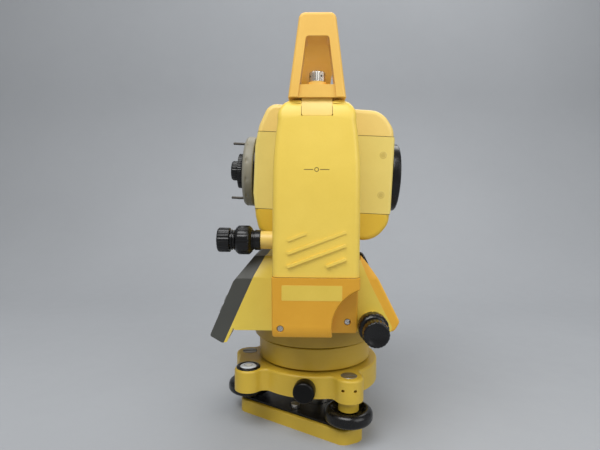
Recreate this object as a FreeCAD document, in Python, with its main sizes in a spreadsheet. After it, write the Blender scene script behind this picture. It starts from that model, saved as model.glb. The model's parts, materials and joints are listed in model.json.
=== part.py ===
"""Surveyor's electronic theodolite on its tribrach.

Frame: +Z up, +X along the level line of sight towards the objective, +Y to the left of
an observer looking through the eyepiece. The origin is the mouth of the tripod thread,
in the middle of the base plate's underside. Lengths are in millimetres.
"""
import FreeCAD, Part
import math
import os
import Sketcher

Vector = FreeCAD.Vector

DRIVING = {
    # levelling base
    "base_turn": -2.7, "foot_circle": 63.0, "plate_inradius": 38.0, "plate_corner": 70.5,
    "plate_height": 12.0, "plate_rounding": 10.0, "spring_height": 2.0, "spring_inset": 1.5,
    "thread_radius": 7.94, "bush_radius": 16.0, "bush_flange": 20.0, "bush_top": 24.0,
    "screw_ring": 32.0, "ball_radius": 5.0, "ball_height": 9.0, "ball_clearance": 0.3,
    "foot_knob_radius": 20.6, "stem_radius": 4.0, "stem_clearance": 0.6,
    # tribrach
    "tribrach_radius": 59.5, "tribrach_top": 56.0, "tribrach_web": 36.6, "lobe_bottom": 36.0,
    "lobe_radius": 12.5, "level_circle": 70.5, "level_angle": -143.8, "level_radius": 10.5,
    "cap_radius": 7.0, "lock_height": 46.0, "lock_angle": -97.6, "lock_radius": 8.9,
    # fixed collar and vertical axis
    "collar_radius": 52.5, "collar_bottom": 58.0, "collar_top": 77.0, "seat_radius": 43.8,
    "spindle_radius": 11.0, "running_clearance": 0.05, "sight_bore": 6.0,
    # alidade
    "flange_radius": 56.8, "flange_bottom": 79.0, "flange_top": 95.3, "block_half_width": 60.0,
    "swing_radius": 87.0, "cheek_inside": 44.0, "standard_inside": 48.0,
    "standard_half_width": 34.6, "saddle_floor": 141.0, "cover_seam": 144.5,
    "trunnion_height": 228.0, "axle_radius": 12.0, "cover_bottom": 97.0,
    # handle
    "handle_half_length": 85.0, "handle_leg": 19.0, "handle_top": 345.0, "grip_underside": 328.0,
    "handle_bottom": 282.5, "block_top": 292.0, "handle_screw_place": 75.5,
    # telescope
    "telescope_tilt": 2.35, "telescope_half_width": 40.5, "band_top": 33.0,
    "band_bottom": -33.5, "tube_bore": 24.0, "objective_radius": 31.0,
    "focus_ring_radius": 32.3, "post_circle": 25.5, "eyepiece_radius": 9.2,
    # slow motion screws
    "vertical_drive_side": -58.0, "vertical_drive_height": 171.0,
    "horizontal_drive_front": 45.6, "horizontal_drive_height": 104.3,
    "drive_knob_radius": 10.2, "drive_ring_radius": 12.0, "drive_neck_radius": 8.4,
    "drive_boss_radius": 7.4,
    # optical plummet
    "plummet_x": 50.2, "plummet_z": 143.6, "plummet_rise": 25.0, "plummet_ring_radius": 13.0,
    # keys
    "key_depth": 1.5, "key_rise": 1.6,
}

doc = FreeCAD.newDocument("Theodolite")
nodes = []


def make_sheet():
    sheet = doc.addObject("Spreadsheet::Sheet", "Dims")
    for row, (alias, value) in enumerate(DRIVING.items(), start=1):
        sheet.set("A%d" % row, alias)
        sheet.set("B%d" % row, str(value))
        sheet.setAlias("B%d" % row, alias)
    doc.recompute()


# ---------------------------------------------------------------- sizes and expressions

def number(size):
    """Value of a size: a number, an alias, a minus sign and an alias, or (value, formula)."""
    if isinstance(size, tuple):
        return size[0]
    if isinstance(size, str):
        return -DRIVING[size[1:]] if size.startswith("-") else DRIVING[size]
    return float(size)


def formula(size):
    """Spreadsheet expression of a size, or None for a plain number."""
    if isinstance(size, tuple):
        return size[1]
    if isinstance(size, str):
        return "-Dims." + size[1:] if size.startswith("-") else "Dims." + size
    return None


def bind(thing, path, size):
    """Bind one property to its cell; thing's property already holds a plain number."""
    if formula(size) is not None:
        thing.setExpression(path, formula(size))


def plus(size, extra):
    """A size with a fixed allowance added to it."""
    return (number(size) + extra, "%s + %g" % (formula(size), extra))


def polar(radius, degrees):
    """Two coordinates of a point on a circle round the vertical axis."""
    angle = math.radians(degrees)
    text = "Dims.%s * %s(%g)"
    x = (DRIVING[radius] * math.cos(angle), text % (radius, "cos", degrees))
    y = (DRIVING[radius] * math.sin(angle), text % (radius, "sin", degrees))
    return x, y


# ---------------------------------------------------------------- sketches and features

def new_body(label):
    body = doc.addObject("PartDesign::Body", label)
    body.Label = label
    nodes.append(body)
    return body


def new_sketch(body, plane, offset=0.0):
    """Sketch on one of the body's own origin planes, moved along its normal by offset.

    XY looks along Z; XZ has its normal along -Y; YZ has its normal along +X.
    """
    sketch = body.newObject("Sketcher::SketchObject", body.Name + "_sketch")
    support = [f for f in body.Origin.OriginFeatures if f.Role == plane + "_Plane"][0]
    sketch.AttachmentSupport = [(support, "")]
    sketch.MapMode = "FlatFace"
    sketch.AttachmentOffset = FreeCAD.Placement(Vector(0, 0, number(offset)), FreeCAD.Rotation())
    bind(sketch, "AttachmentOffset.Base.z", offset)
    return sketch


def pin_point(sketch, geometry, place, u, v):
    """Hold one point of a sketch at (u, v) with two dimensions."""
    for kind, size in (("DistanceX", u), ("DistanceY", v)):
        index = sketch.addConstraint(
            Sketcher.Constraint(kind, -1, 1, geometry, place, number(size)))
        bind(sketch, "Constraints[%d]" % index, size)


def draw_outline(sketch, points):
    """Closed outline. A point is (u, v), or (u, v, (mu, mv)) when an arc through
    (mu, mv) leads to it from the point before."""
    def corner(point):
        return Vector(number(point[0]), number(point[1]), 0)

    first = sketch.GeometryCount
    for index, point in enumerate(points):
        start = corner(points[index - 1])
        end = corner(point)
        if len(point) == 3:
            middle = Vector(point[2][0], point[2][1], 0)
            sketch.addGeometry(Part.Arc(start, middle, end), False)
        else:
            sketch.addGeometry(Part.LineSegment(start, end), False)
    count = len(points)
    for index, point in enumerate(points):
        here = first + index
        after = first + (index + 1) % count
        end = corner(point)
        here_place = 2 if sketch.getPoint(here, 2).distanceToPoint(end) < 1e-6 else 1
        after_place = 1 if sketch.getPoint(after, 1).distanceToPoint(end) < 1e-6 else 2
        sketch.addConstraint(
            Sketcher.Constraint("Coincident", here, here_place, after, after_place))
        pin_point(sketch, here, here_place, point[0], point[1])
    for index, point in enumerate(points):
        if len(point) == 3:
            radius = sketch.Geometry[first + index].Radius
            sketch.addConstraint(Sketcher.Constraint("Radius", first + index, radius))


def draw_circle(sketch, u, v, radius):
    circle = Part.Circle(Vector(number(u), number(v), 0), Vector(0, 0, 1), number(radius))
    geometry = sketch.addGeometry(circle, False)
    pin_point(sketch, geometry, 3, u, v)
    index = sketch.addConstraint(Sketcher.Constraint("Radius", geometry, number(radius)))
    bind(sketch, "Constraints[%d]" % index, radius)


def pad(body, sketch, length, symmetric=False, backwards=False):
    feature = body.newObject("PartDesign::Pad", body.Name + "_pad")
    feature.Profile = sketch
    feature.Length = number(length)
    bind(feature, "Length", length)
    feature.SideType = "Symmetric" if symmetric else "One side"
    feature.Reversed = backwards
    return feature


def cut(body, sketch, length=None):
    """Pocket cut evenly to both sides of its sketch, right through when no length is given."""
    doc.recompute()
    before = body.Shape.Volume
    feature = body.newObject("PartDesign::Pocket", body.Name + "_pocket")
    feature.Profile = sketch
    feature.SideType = "Symmetric"
    if length is None:
        feature.Type = "ThroughAll"
    else:
        feature.Type = "Length"
        feature.Length = number(length)
        bind(feature, "Length", length)
    doc.recompute()
    if body.Shape.Volume > before - 0.01:
        raise ValueError("a pocket of %s cuts nothing" % body.Label)
    return feature


def revolve(body, sketch, axis):
    feature = body.newObject("PartDesign::Revolution", body.Name + "_turn")
    feature.Profile = sketch
    feature.ReferenceAxis = (sketch, [axis])
    feature.Angle = 360
    return feature


def ease(body, radius, chosen, chamfer=False):
    """Round or chamfer the edges that the test picks out."""
    doc.recompute()
    tip = body.Tip
    names = ["Edge%d" % (i + 1) for i, e in enumerate(tip.Shape.Edges) if chosen(e)]
    if not names:
        raise ValueError("no edge of %s to ease" % body.Label)
    kind = "Chamfer" if chamfer else "Fillet"
    feature = body.newObject("PartDesign::" + kind, body.Name + "_" + kind.lower())
    feature.Base = (tip, names)
    if chamfer:
        feature.Size = radius
    else:
        feature.Radius = radius
    doc.recompute()
    if "Invalid" in feature.State or "Error" in feature.State or not feature.Shape.isValid():
        raise ValueError("edges of %s can't be eased by %g" % (body.Label, radius))


def rim(*circles):
    """Edge test for full circles given as (radius, place along the axis)."""
    def chosen(edge):
        if edge.Curve.TypeId != "Part::GeomCircle" or not edge.Closed:
            return False
        centre = edge.Curve.Center
        axis = edge.Curve.Axis
        along = centre.dot(Vector(abs(axis.x), abs(axis.y), abs(axis.z)))
        return any(abs(edge.Curve.Radius - number(r)) < 0.01 and abs(along - number(p)) < 0.01
                   for r, p in circles)
    return chosen


def parallel(direction, shortest=0.0):
    """Edge test for straight edges along one direction."""
    def chosen(edge):
        if edge.Curve.TypeId != "Part::GeomLine" or edge.Length < shortest:
            return False
        return abs(abs(edge.tangentAt(edge.FirstParameter).dot(direction)) - 1) < 1e-6
    return chosen


UP = Vector(0, 0, 1)
AHEAD = Vector(1, 0, 0)
ACROSS = Vector(0, 1, 0)


# ---------------------------------------------------------------- placements

def turn_with_base(body):
    """Stand a piece of the levelling base in its own turned position."""
    body.Placement = FreeCAD.Placement(Vector(), FreeCAD.Rotation(UP, number("base_turn")))
    body.setExpression("Placement.Rotation.Angle", "Dims.base_turn")


def at_foot(body, degrees):
    """Stand a piece on one of the three foot circles' points."""
    angle = math.radians(degrees + number("base_turn"))
    radius = number("foot_circle")
    spot = Vector(radius * math.cos(angle), radius * math.sin(angle), 0)
    body.Placement = FreeCAD.Placement(spot, FreeCAD.Rotation())
    text = "Dims.foot_circle * %s(%g + Dims.base_turn)"
    body.setExpression("Placement.Base.x", text % ("cos", degrees))
    body.setExpression("Placement.Base.y", text % ("sin", degrees))


def tilt_with_telescope(body):
    """Hang a piece of the telescope on the trunnion axis at its resting tilt."""
    body.Placement = FreeCAD.Placement(
        Vector(0, 0, number("trunnion_height")),
        FreeCAD.Rotation(ACROSS, number("telescope_tilt")))
    body.setExpression("Placement.Base.z", "Dims.trunnion_height")
    body.setExpression("Placement.Rotation.Angle", "Dims.telescope_tilt")


def shift(body, x=0.0, y=0.0, z=0.0):
    body.Placement = FreeCAD.Placement(
        Vector(number(x), number(y), number(z)), FreeCAD.Rotation())
    for path, size in (("x", x), ("y", y), ("z", z)):
        bind(body, "Placement.Base." + path, size)


# ---------------------------------------------------------------- turned pieces

def turned(label, axis, points):
    """Piece turned about Z from (radius, z) points, or about X or Y from
    (place along the axis, radius) points."""
    body = new_body(label)
    sketch = new_sketch(body, "YZ" if axis == "Y" else "XZ")
    draw_outline(sketch, points)
    revolve(body, sketch, "V_Axis" if axis == "Z" else "H_Axis")
    return body


def grouped(label, members):
    """One node that holds several separate solids."""
    group = doc.addObject("Part::Compound", label)
    group.Label = label
    group.Links = members
    nodes.append(group)
    return group


def cylinder(name, radius, height, spot, direction=UP):
    piece = doc.addObject("Part::Cylinder", name)
    piece.Radius = number(radius)
    bind(piece, "Radius", radius)
    piece.Height = number(height)
    bind(piece, "Height", height)
    piece.Placement = FreeCAD.Placement(spot, FreeCAD.Rotation(UP, direction))
    return piece


def headed_pin(name, head, head_length, shank, shank_length, spot, direction):
    """A head with a thinner shank under it; spot is where they meet."""
    top = cylinder(name + "_head", head, head_length, spot, direction)
    low = cylinder(name + "_shank", shank, shank_length, spot, direction * -1)
    joined = doc.addObject("Part::Fuse", name)
    joined.Base = top
    joined.Tool = low
    return joined


# ---------------------------------------------------------------- levelling base

FOOT_ANGLES = {"left": 180.0, "front": -60.0, "back": 60.0}
SIDE_ANGLES = (-120.0, 0.0, 120.0)


def plate_corners(inset):
    """Six corners of a triangle whose points are cut off square."""
    inradius = number("plate_inradius") - inset
    corner = number("plate_corner") - inset
    half = (2 * inradius - corner) * math.sqrt(3)
    half_text = "(2 * Dims.plate_inradius - Dims.plate_corner - %g) * tan(60)" % inset
    points = []
    for degrees in (180.0, 300.0, 420.0):
        angle = math.radians(degrees)
        for side in (-1, 1):
            x = corner * math.cos(angle) - side * half * math.sin(angle)
            y = corner * math.sin(angle) + side * half * math.cos(angle)
            text = "(Dims.plate_corner - %g) * %s(%g) %s %s * %s(%g)"
            x_text = text % (inset, "cos", degrees, "-" if side > 0 else "+", half_text,
                             "sin", degrees)
            y_text = text % (inset, "sin", degrees, "+" if side > 0 else "-", half_text,
                             "cos", degrees)
            points.append(((x, x_text), (y, y_text)))
    return points


def base_plate():
    body = new_body("base_plate")
    sketch = new_sketch(body, "XY")
    draw_outline(sketch, plate_corners(0.0))
    pad(body, sketch, "plate_height")
    ease(body, number("plate_rounding"), parallel(UP))
    ease(body, 1.6, lambda e: abs(e.CenterOfMass.z - number("plate_height")) < 0.01)
    hole = new_sketch(body, "XY")
    draw_circle(hole, 0.0, 0.0, plus("bush_radius", 0.1))
    cut(body, hole)
    seats = new_sketch(body, "XY", "plate_height")
    for degrees in FOOT_ANGLES.values():
        x, y = polar("foot_circle", degrees)
        draw_circle(seats, x, y, plus("ball_radius", number("ball_clearance")))
    cut(body, seats, 2 * (number("plate_height") - 3.7))
    taps = new_sketch(body, "XY", "plate_height")
    for degrees in SIDE_ANGLES:
        x, y = polar("screw_ring", degrees)
        draw_circle(taps, x, y, 1.6)
    cut(body, taps, 14.0)
    for degrees in SIDE_ANGLES:
        relief = new_sketch(body, "XY")
        corners = ((33.0, -36.0), (42.0, -36.0), (42.0, 36.0), (33.0, 36.0))
        angle = math.radians(degrees)
        draw_outline(relief, [(u * math.cos(angle) - v * math.sin(angle),
                               u * math.sin(angle) + v * math.cos(angle)) for u, v in corners])
        cut(body, relief, 2.4)
    ball_channels(body)
    turn_with_base(body)


CHANNEL_LENGTH = 10.6


def ball_channels(body):
    """Short round channels under the left and front balls, both pointing at the back one.

    The back ball only turns in its seat. The other two slide a little along these
    channels as the tribrach tilts, so each channel lies on one of the tilt axes.
    """
    groove = plus("ball_radius", number("ball_clearance"))
    foot_x, foot_y = polar("foot_circle", FOOT_ANGLES["front"])
    front = new_sketch(body, "XZ", (-foot_y[0], "-" + foot_y[1]))
    draw_circle(front, foot_x, "ball_height", groove)
    cut(body, front, CHANNEL_LENGTH)
    left = new_sketch(body, "YZ")
    left.AttachmentOffset = FreeCAD.Placement(
        Vector(0.0, 0.0, -number("foot_circle")), FreeCAD.Rotation(ACROSS, 30.0))
    left.setExpression("AttachmentOffset.Base.z", "-Dims.foot_circle")
    draw_circle(left, 0.0, "ball_height", groove)
    cut(body, left, CHANNEL_LENGTH)


def spring_plate():
    body = new_body("spring_plate")
    sketch = new_sketch(body, "XY", "plate_height")
    draw_outline(sketch, plate_corners(number("spring_inset")))
    pad(body, sketch, "spring_height")
    ease(body, 8.0, parallel(UP))
    holes = new_sketch(body, "XY", "plate_height")
    draw_circle(holes, 0.0, 0.0, plus("bush_radius", 0.1))
    for degrees in FOOT_ANGLES.values():
        x, y = polar("foot_circle", degrees)
        draw_circle(holes, x, y, 4.7)
    for degrees in SIDE_ANGLES:
        x, y = polar("screw_ring", degrees)
        draw_circle(holes, x, y, 1.7)
    cut(body, holes)
    turn_with_base(body)


def base_screws():
    members = []
    level = number("plate_height") + number("spring_height")
    for index, degrees in enumerate(SIDE_ANGLES):
        angle = math.radians(degrees + number("base_turn"))
        radius = number("screw_ring")
        spot = Vector(radius * math.cos(angle), radius * math.sin(angle), level)
        members.append(headed_pin("base_screw_%d" % index, 4.2, 4.0, 1.5, 8.0, spot, UP))
    grouped("base_screws", members)


def tripod_bush():
    step = number("plate_height") + number("spring_height")
    body = turned("tripod_bush", "Z", [
        ("thread_radius", 0.0), ("bush_radius", 0.0), ("bush_radius", step),
        ("bush_flange", step), ("bush_flange", "bush_top"), ("thread_radius", "bush_top")])
    ease(body, 1.0, rim(("bush_flange", "bush_top")), chamfer=True)
    turn_with_base(body)


def ball_tip(name, degrees):
    """Ball end of a foot screw, seated under the spring plate."""
    radius = number("ball_radius")
    centre = number("ball_height")
    body = turned("ball_tip_" + name, "Z", [
        (0.0, centre - radius), (radius, centre, (radius * 0.6, centre - radius * 0.8)),
        (2.4, centre + 3.2), (0.0, centre + 3.2)])
    at_foot(body, degrees)


def foot_screw(name, degrees):
    """Knob and stem of one levelling screw; its cupped lower end rides over the ball."""
    ball = number("ball_height")
    knob = number("foot_knob_radius")
    body = turned("foot_screw_" + name, "Z", [
        (0.0, ball + 3.8), (2.6, ball + 3.8), ("stem_radius", ball + 4.6),
        ("stem_radius", 16.6), (9.0, 16.6), (11.0, 17.4), (knob - 4.0, 17.4),
        (knob, 22.0, (knob - 1.2, 18.7)), (knob, 23.8), (knob - 5.6, 28.9, (knob - 1.5, 27.5)),
        (11.6, 25.2), (10.4, 24.6), ("stem_radius", 24.6), ("stem_radius", 50.5), (0.0, 50.5)])
    at_foot(body, degrees)


# ---------------------------------------------------------------- tribrach

def lock_direction():
    angle = math.radians(number("lock_angle"))
    return Vector(math.cos(angle), math.sin(angle), 0)


def tribrach_body():
    body = new_body("tribrach_body")
    disc = new_sketch(body, "XY", "tribrach_web")
    draw_circle(disc, 0.0, 0.0, "tribrach_radius")
    pad(body, disc, (19.4, "Dims.tribrach_top - Dims.tribrach_web"))
    for degrees in FOOT_ANGLES.values():
        lobe = new_sketch(body, "XY", "lobe_bottom")
        x, y = polar("foot_circle", degrees)
        draw_circle(lobe, x, y, "lobe_radius")
        pad(body, lobe, (20.0, "Dims.tribrach_top - Dims.lobe_bottom"))
        sleeve = new_sketch(body, "XY", plus("lobe_bottom", -8.8))
        draw_circle(sleeve, x, y, 8.7)
        pad(body, sleeve, 10.0)
    shelf = new_sketch(body, "XY", "tribrach_web")
    x, y = polar("level_circle", number("level_angle"))
    draw_circle(shelf, x, y, plus("level_radius", 1.6))
    pad(body, shelf, (19.4, "Dims.tribrach_top - Dims.tribrach_web"))
    neck = new_sketch(body, "XY", "tribrach_web")
    reach = 9.0
    tip_x, tip_y = x[0], y[0]
    angle = math.radians(number("level_angle"))
    side_x, side_y = -math.sin(angle) * reach, math.cos(angle) * reach
    draw_outline(neck, [
        (tip_x + side_x, tip_y + side_y), (tip_x * 0.6 + side_x * 1.9, tip_y * 0.6 + side_y * 1.9),
        (tip_x * 0.6 - side_x * 1.9, tip_y * 0.6 - side_y * 1.9), (tip_x - side_x, tip_y - side_y)])
    pad(body, neck, (19.4, "Dims.tribrach_top - Dims.tribrach_web"))
    wall = new_sketch(body, "XY", "tribrach_web")
    draw_outline(wall, [(-72.9, -1.5), (-66.8, -43.0), (-56.9, -41.6), (-40.0, -30.0),
                        (-40.0, 0.0), (-63.0, 0.0)])
    pad(body, wall, (19.4, "Dims.tribrach_top - Dims.tribrach_web"))
    outer = number("tribrach_radius") - 4.0
    top = number("tribrach_top")
    ease(body, 7.0, lambda e: parallel(UP, 12.0)(e)
         and e.CenterOfMass.sub(Vector(0, 0, e.CenterOfMass.z)).Length > outer)
    ease(body, 2.2, lambda e: abs(e.BoundBox.ZMin - top) < 0.01
         and abs(e.BoundBox.ZMax - top) < 0.01)
    well = new_sketch(body, "XY", "tribrach_top")
    draw_circle(well, 0.0, 0.0, plus("seat_radius", 0.2))
    cut(body, well, 10.0)
    window = new_sketch(body, "XY", "tribrach_web")
    draw_circle(window, 0.0, 0.0, 15.2)
    cut(body, window)
    stems = new_sketch(body, "XY", "lobe_bottom")
    caps = new_sketch(body, "XY", "tribrach_top")
    for degrees in FOOT_ANGLES.values():
        x, y = polar("foot_circle", degrees)
        draw_circle(stems, x, y, plus("stem_radius", number("stem_clearance")))
        draw_circle(caps, x, y, plus("cap_radius", 0.1))
    cut(body, stems, 34.8)
    cut(body, caps, 4.4)
    cup = new_sketch(body, "XY", "tribrach_top")
    x, y = polar("level_circle", number("level_angle"))
    draw_circle(cup, x, y, plus("level_radius", 0.1))
    cut(body, cup, 14.0)
    lock_bore(body)
    adjusting_holes(body)
    turn_with_base(body)


def lock_bore(body):
    """Radial hole for the shaft of the clamp knob."""
    bore = new_sketch(body, "YZ")
    turn = number("lock_angle") - number("base_turn")
    angle = math.radians(turn)
    depth = 54.0
    bore.AttachmentOffset = FreeCAD.Placement(
        Vector(depth * math.sin(angle), 0.0, depth * math.cos(angle)),
        FreeCAD.Rotation(ACROSS, turn))
    draw_circle(bore, 0.0, "lock_height", 3.1)
    cut(body, bore, 14.0)


def adjusting_holes(body):
    """Two pin holes in the outer face of the front foot's lobe."""
    spot_x, spot_y = polar("foot_circle", FOOT_ANGLES["front"])
    holes = new_sketch(body, "XZ", -spot_y[0] + number("lobe_radius"))
    for side in (-5.1, 5.1):
        draw_circle(holes, spot_x[0] + side, 47.0, 1.4)
    cut(body, holes, 11.0)


def foot_caps():
    members = []
    for name, degrees in FOOT_ANGLES.items():
        angle = math.radians(degrees + number("base_turn"))
        radius = number("foot_circle")
        spot = Vector(radius * math.cos(angle), radius * math.sin(angle),
                      number("tribrach_top") - 2.2)
        members.append(cylinder("foot_cap_" + name, "cap_radius", 2.5, spot))
    grouped("foot_caps", members)


def circular_level():
    """Bull's-eye level: a black ring with a domed glass in it."""
    low = number("tribrach_top") - 7.0
    top = number("tribrach_top") + 2.0
    ring = number("level_radius")
    case = turned("circular_level_case", "Z", [
        (0.0, low), (ring, low), (ring, top - 0.8), (ring - 0.8, top), (7.5, top),
        (7.5, low + 2.0), (0.0, low + 2.0)])
    glass = turned("circular_level_vial", "Z", [
        (0.0, low + 2.0), (7.2, low + 2.0), (7.2, top - 0.8), (1.0, top - 0.1, (4.2, top - 0.3)),
        (0.0, top - 0.1)])
    angle = math.radians(number("level_angle") + number("base_turn"))
    radius = number("level_circle")
    for body in (case, glass):
        shift(body, radius * math.cos(angle), radius * math.sin(angle), 0.0)
        text = "Dims.level_circle * %s(Dims.level_angle + Dims.base_turn)"
        body.setExpression("Placement.Base.x", text % "cos")
        body.setExpression("Placement.Base.y", text % "sin")


def tribrach_lock_knob():
    radius = number("lock_radius")
    body = turned("tribrach_lock_knob", "X", [
        (48.5, 0.0), (48.5, 2.8), (60.4, 2.8), (60.4, radius - 1.2), (61.6, radius),
        (69.0, radius), (72.0, radius - 3.4, (71.2, radius - 1.0)), (72.4, 0.0)])
    body.Placement = FreeCAD.Placement(
        Vector(0, 0, number("lock_height")), FreeCAD.Rotation(UP, number("lock_angle")))
    body.setExpression("Placement.Base.z", "Dims.lock_height")
    body.setExpression("Placement.Rotation.Angle", "Dims.lock_angle")


def lower_housing():
    """Fixed collar that stands in the tribrach and carries the vertical axis."""
    body = turned("lower_housing", "Z", [
        (15.0, 51.0), ("seat_radius", 51.0), ("seat_radius", "collar_bottom"),
        ("collar_radius", "collar_bottom"), ("collar_radius", "collar_top"),
        (47.0, "collar_top"), (47.0, 62.0), (24.0, 62.0), (24.0, 72.0), (20.0, 72.0),
        (20.0, "collar_top"), (15.0, "collar_top")])
    ease(body, 1.0, rim(("collar_radius", "collar_bottom"), ("collar_radius", "collar_top")))


def axis_sleeve():
    inside = plus("spindle_radius", number("running_clearance"))
    turned("axis_sleeve", "Z", [
        (inside, 51.0), (15.0, 51.0), (15.0, "collar_top"), (inside, "collar_top")])


def horizontal_circle():
    turned("horizontal_circle", "Z", [(20.1, 72.0), (45.0, 72.0), (45.0, 74.0), (20.1, 74.0)])


# ---------------------------------------------------------------- alidade core

def axis_spindle():
    turned("axis_spindle", "Z", [
        ("sight_bore", 52.0), ("spindle_radius", 52.0), ("spindle_radius", "flange_bottom"),
        (18.0, "flange_bottom"), (18.0, 85.0), ("sight_bore", 85.0)])


def rotating_flange():
    body = turned("rotating_flange", "Z", [
        (18.1, "flange_bottom"), ("flange_radius", "flange_bottom"), ("flange_radius", 92.4),
        (55.2, "flange_top"), (7.0, "flange_top"), (7.0, 85.0), (18.1, 85.0)])
    ease(body, 1.0, rim(("flange_radius", "flange_bottom")))


# Side view (x, z) of the block that carries the standards, the control panel in front of
# the observer and the cover on the objective side. They share these corners.
PANEL_FOOT = (-76.7, 84.4)
PANEL_BEND = (-51.4, 141.0)
PANEL_HEAD = (-42.5, 157.0)
COVER_HEAD = (37.7, 154.2)
COVER_BEND = (44.9, 136.5)
COVER_FOOT = (63.8, 99.4)
BLOCK_TOE = (63.2, 95.3)
DISPLAY_TOP = (-51.9, 156.6)
DISPLAY_KNEE = (-68.4, 136.5)
KEYS_FOOT = (-88.3, 90.3)


def swing_clearance(body):
    """Round hollow under the trunnion axis that lets the telescope swing through."""
    hollow = new_sketch(body, "XZ")
    draw_circle(hollow, 0.0, "trunnion_height", "swing_radius")
    cut(body, hollow, (88.0, "2 * Dims.cheek_inside"))


def sloping_cheeks(body):
    """Lean the top of both cheeks inwards."""
    slopes = new_sketch(body, "YZ")
    for side in (-1, 1):
        draw_outline(slopes, [(side * 60.0, 139.0), (side * 50.0, 158.0), (side * 50.0, 170.0),
                              (side * 62.0, 170.0), (side * 62.0, 139.0)])
    cut(body, slopes)


def plummet_room(body, points):
    """Stepped round hole along the plummet's sloping axis."""
    doc.recompute()
    before = body.Shape.Volume
    sketch = new_sketch(body, "XZ")
    sketch.AttachmentOffset = FreeCAD.Placement(
        Vector(number("plummet_x"), number("plummet_z"), 0),
        FreeCAD.Rotation(UP, number("plummet_rise")))
    sketch.setExpression("AttachmentOffset.Base.x", "Dims.plummet_x")
    sketch.setExpression("AttachmentOffset.Base.y", "Dims.plummet_z")
    draw_outline(sketch, points)
    groove = body.newObject("PartDesign::Groove", body.Name + "_groove")
    groove.Profile = sketch
    groove.ReferenceAxis = (sketch, ["H_Axis"])
    groove.Angle = 360
    doc.recompute()
    if body.Shape.Volume > before - 1.0:
        raise ValueError("the plummet hole of %s cuts nothing" % body.Label)


RING_ROOM = [(-11.0, 0.0), (8.0, 0.0), (8.0, 14.4), (-11.0, 14.4)]


def alidade_base():
    body = new_body("alidade_base")
    sketch = new_sketch(body, "XZ")
    draw_outline(sketch, [
        (-67.3, "flange_top"), BLOCK_TOE, COVER_FOOT, COVER_BEND, COVER_HEAD, PANEL_HEAD,
        PANEL_BEND, PANEL_FOOT, (-74.0, 85.0), (-68.6, 97.1)])
    pad(body, sketch, (120.0, "2 * Dims.block_half_width"), symmetric=True)
    swing_clearance(body)
    notches = new_sketch(body, "YZ")
    for side in (-1, 1):
        inside = side * number("standard_inside")
        draw_outline(notches, [(inside, 90.0), (side * 62.0, 90.0), (side * 62.0, 165.0),
                               (inside, 165.0)])
    cut(body, notches, (70.0, "2 * Dims.standard_half_width + 0.8"))
    floor = new_sketch(body, "YZ")
    draw_outline(floor, [(-48.0, "saddle_floor"), (-48.0, 165.0), (48.0, 165.0),
                         (48.0, "saddle_floor")])
    cut(body, floor, (70.0, "2 * Dims.standard_half_width + 0.8"))
    sloping_cheeks(body)
    cavity = new_sketch(body, "XZ")
    draw_outline(cavity, [(-58.0, 99.5), (66.0, 99.5), (66.0, 112.0), (48.0, 128.0),
                          (-50.0, 128.0)])
    cut(body, cavity, 92.0)
    plummet_room(body, RING_ROOM)
    plummet_room(body, [(-60.0, 0.0), (0.0, 0.0), (0.0, 7.2), (-60.0, 7.2)])
    bore = new_sketch(body, "XY", "flange_top")
    draw_circle(bore, 0.0, 0.0, 7.0)
    cut(body, bore, 12.0)
    trough = new_sketch(body, "XZ")
    draw_outline(trough, [(-31.3, 132.0), (-18.7, 132.0), (-18.7, 150.0), (-31.3, 150.0)])
    cut(body, trough, 56.6)


def front_cover():
    """Cover on the objective side of the block."""
    body = new_body("front_cover")
    sketch = new_sketch(body, "XZ")
    draw_outline(sketch, [BLOCK_TOE, (65.8, 95.3), (70.4, 103.4), (52.4, 139.1), (43.4, 151.7),
                          (38.3, 157.4), COVER_HEAD, COVER_BEND, COVER_FOOT])
    pad(body, sketch, (120.0, "2 * Dims.block_half_width"), symmetric=True)
    ease(body, 4.0, lambda e: parallel(ACROSS)(e) and e.CenterOfMass.x > 65.0)
    ease(body, 20.0, lambda e: parallel(ACROSS)(e) and 52.0 < e.CenterOfMass.x < 53.0)
    ease(body, 1.6, lambda e: abs(e.CenterOfMass.y) > 59.9
         and e.CenterOfMass.x * 0.891 + e.CenterOfMass.z * 0.454 > 108.0)
    swing_clearance(body)
    sloping_cheeks(body)
    plummet_room(body, [(-20.0, 0.0), (12.0, 0.0), (12.0, 14.4), (-20.0, 14.4)])


def along_facet(first, second, start, end, low, high):
    """Rectangle standing on a sloping facet: from start to end along it, from low to
    high above it."""
    span = math.dist(first, second)
    run = ((second[0] - first[0]) / span, (second[1] - first[1]) / span)
    rise = (run[1], -run[0])
    return [(first[0] + run[0] * a + rise[0] * b, first[1] + run[1] * a + rise[1] * b)
            for a, b in ((start, low), (end, low), (end, high), (start, high))]


KEY_ROWS = (19.4, 29.2)
KEY_COLUMNS = (-37.0, 0.0, 37.0)
KEY_LENGTH = 22.0
KEY_WIDTH = 6.0
KEY_GAP = 0.35
DISPLAY_LENGTH = 72.0


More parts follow.
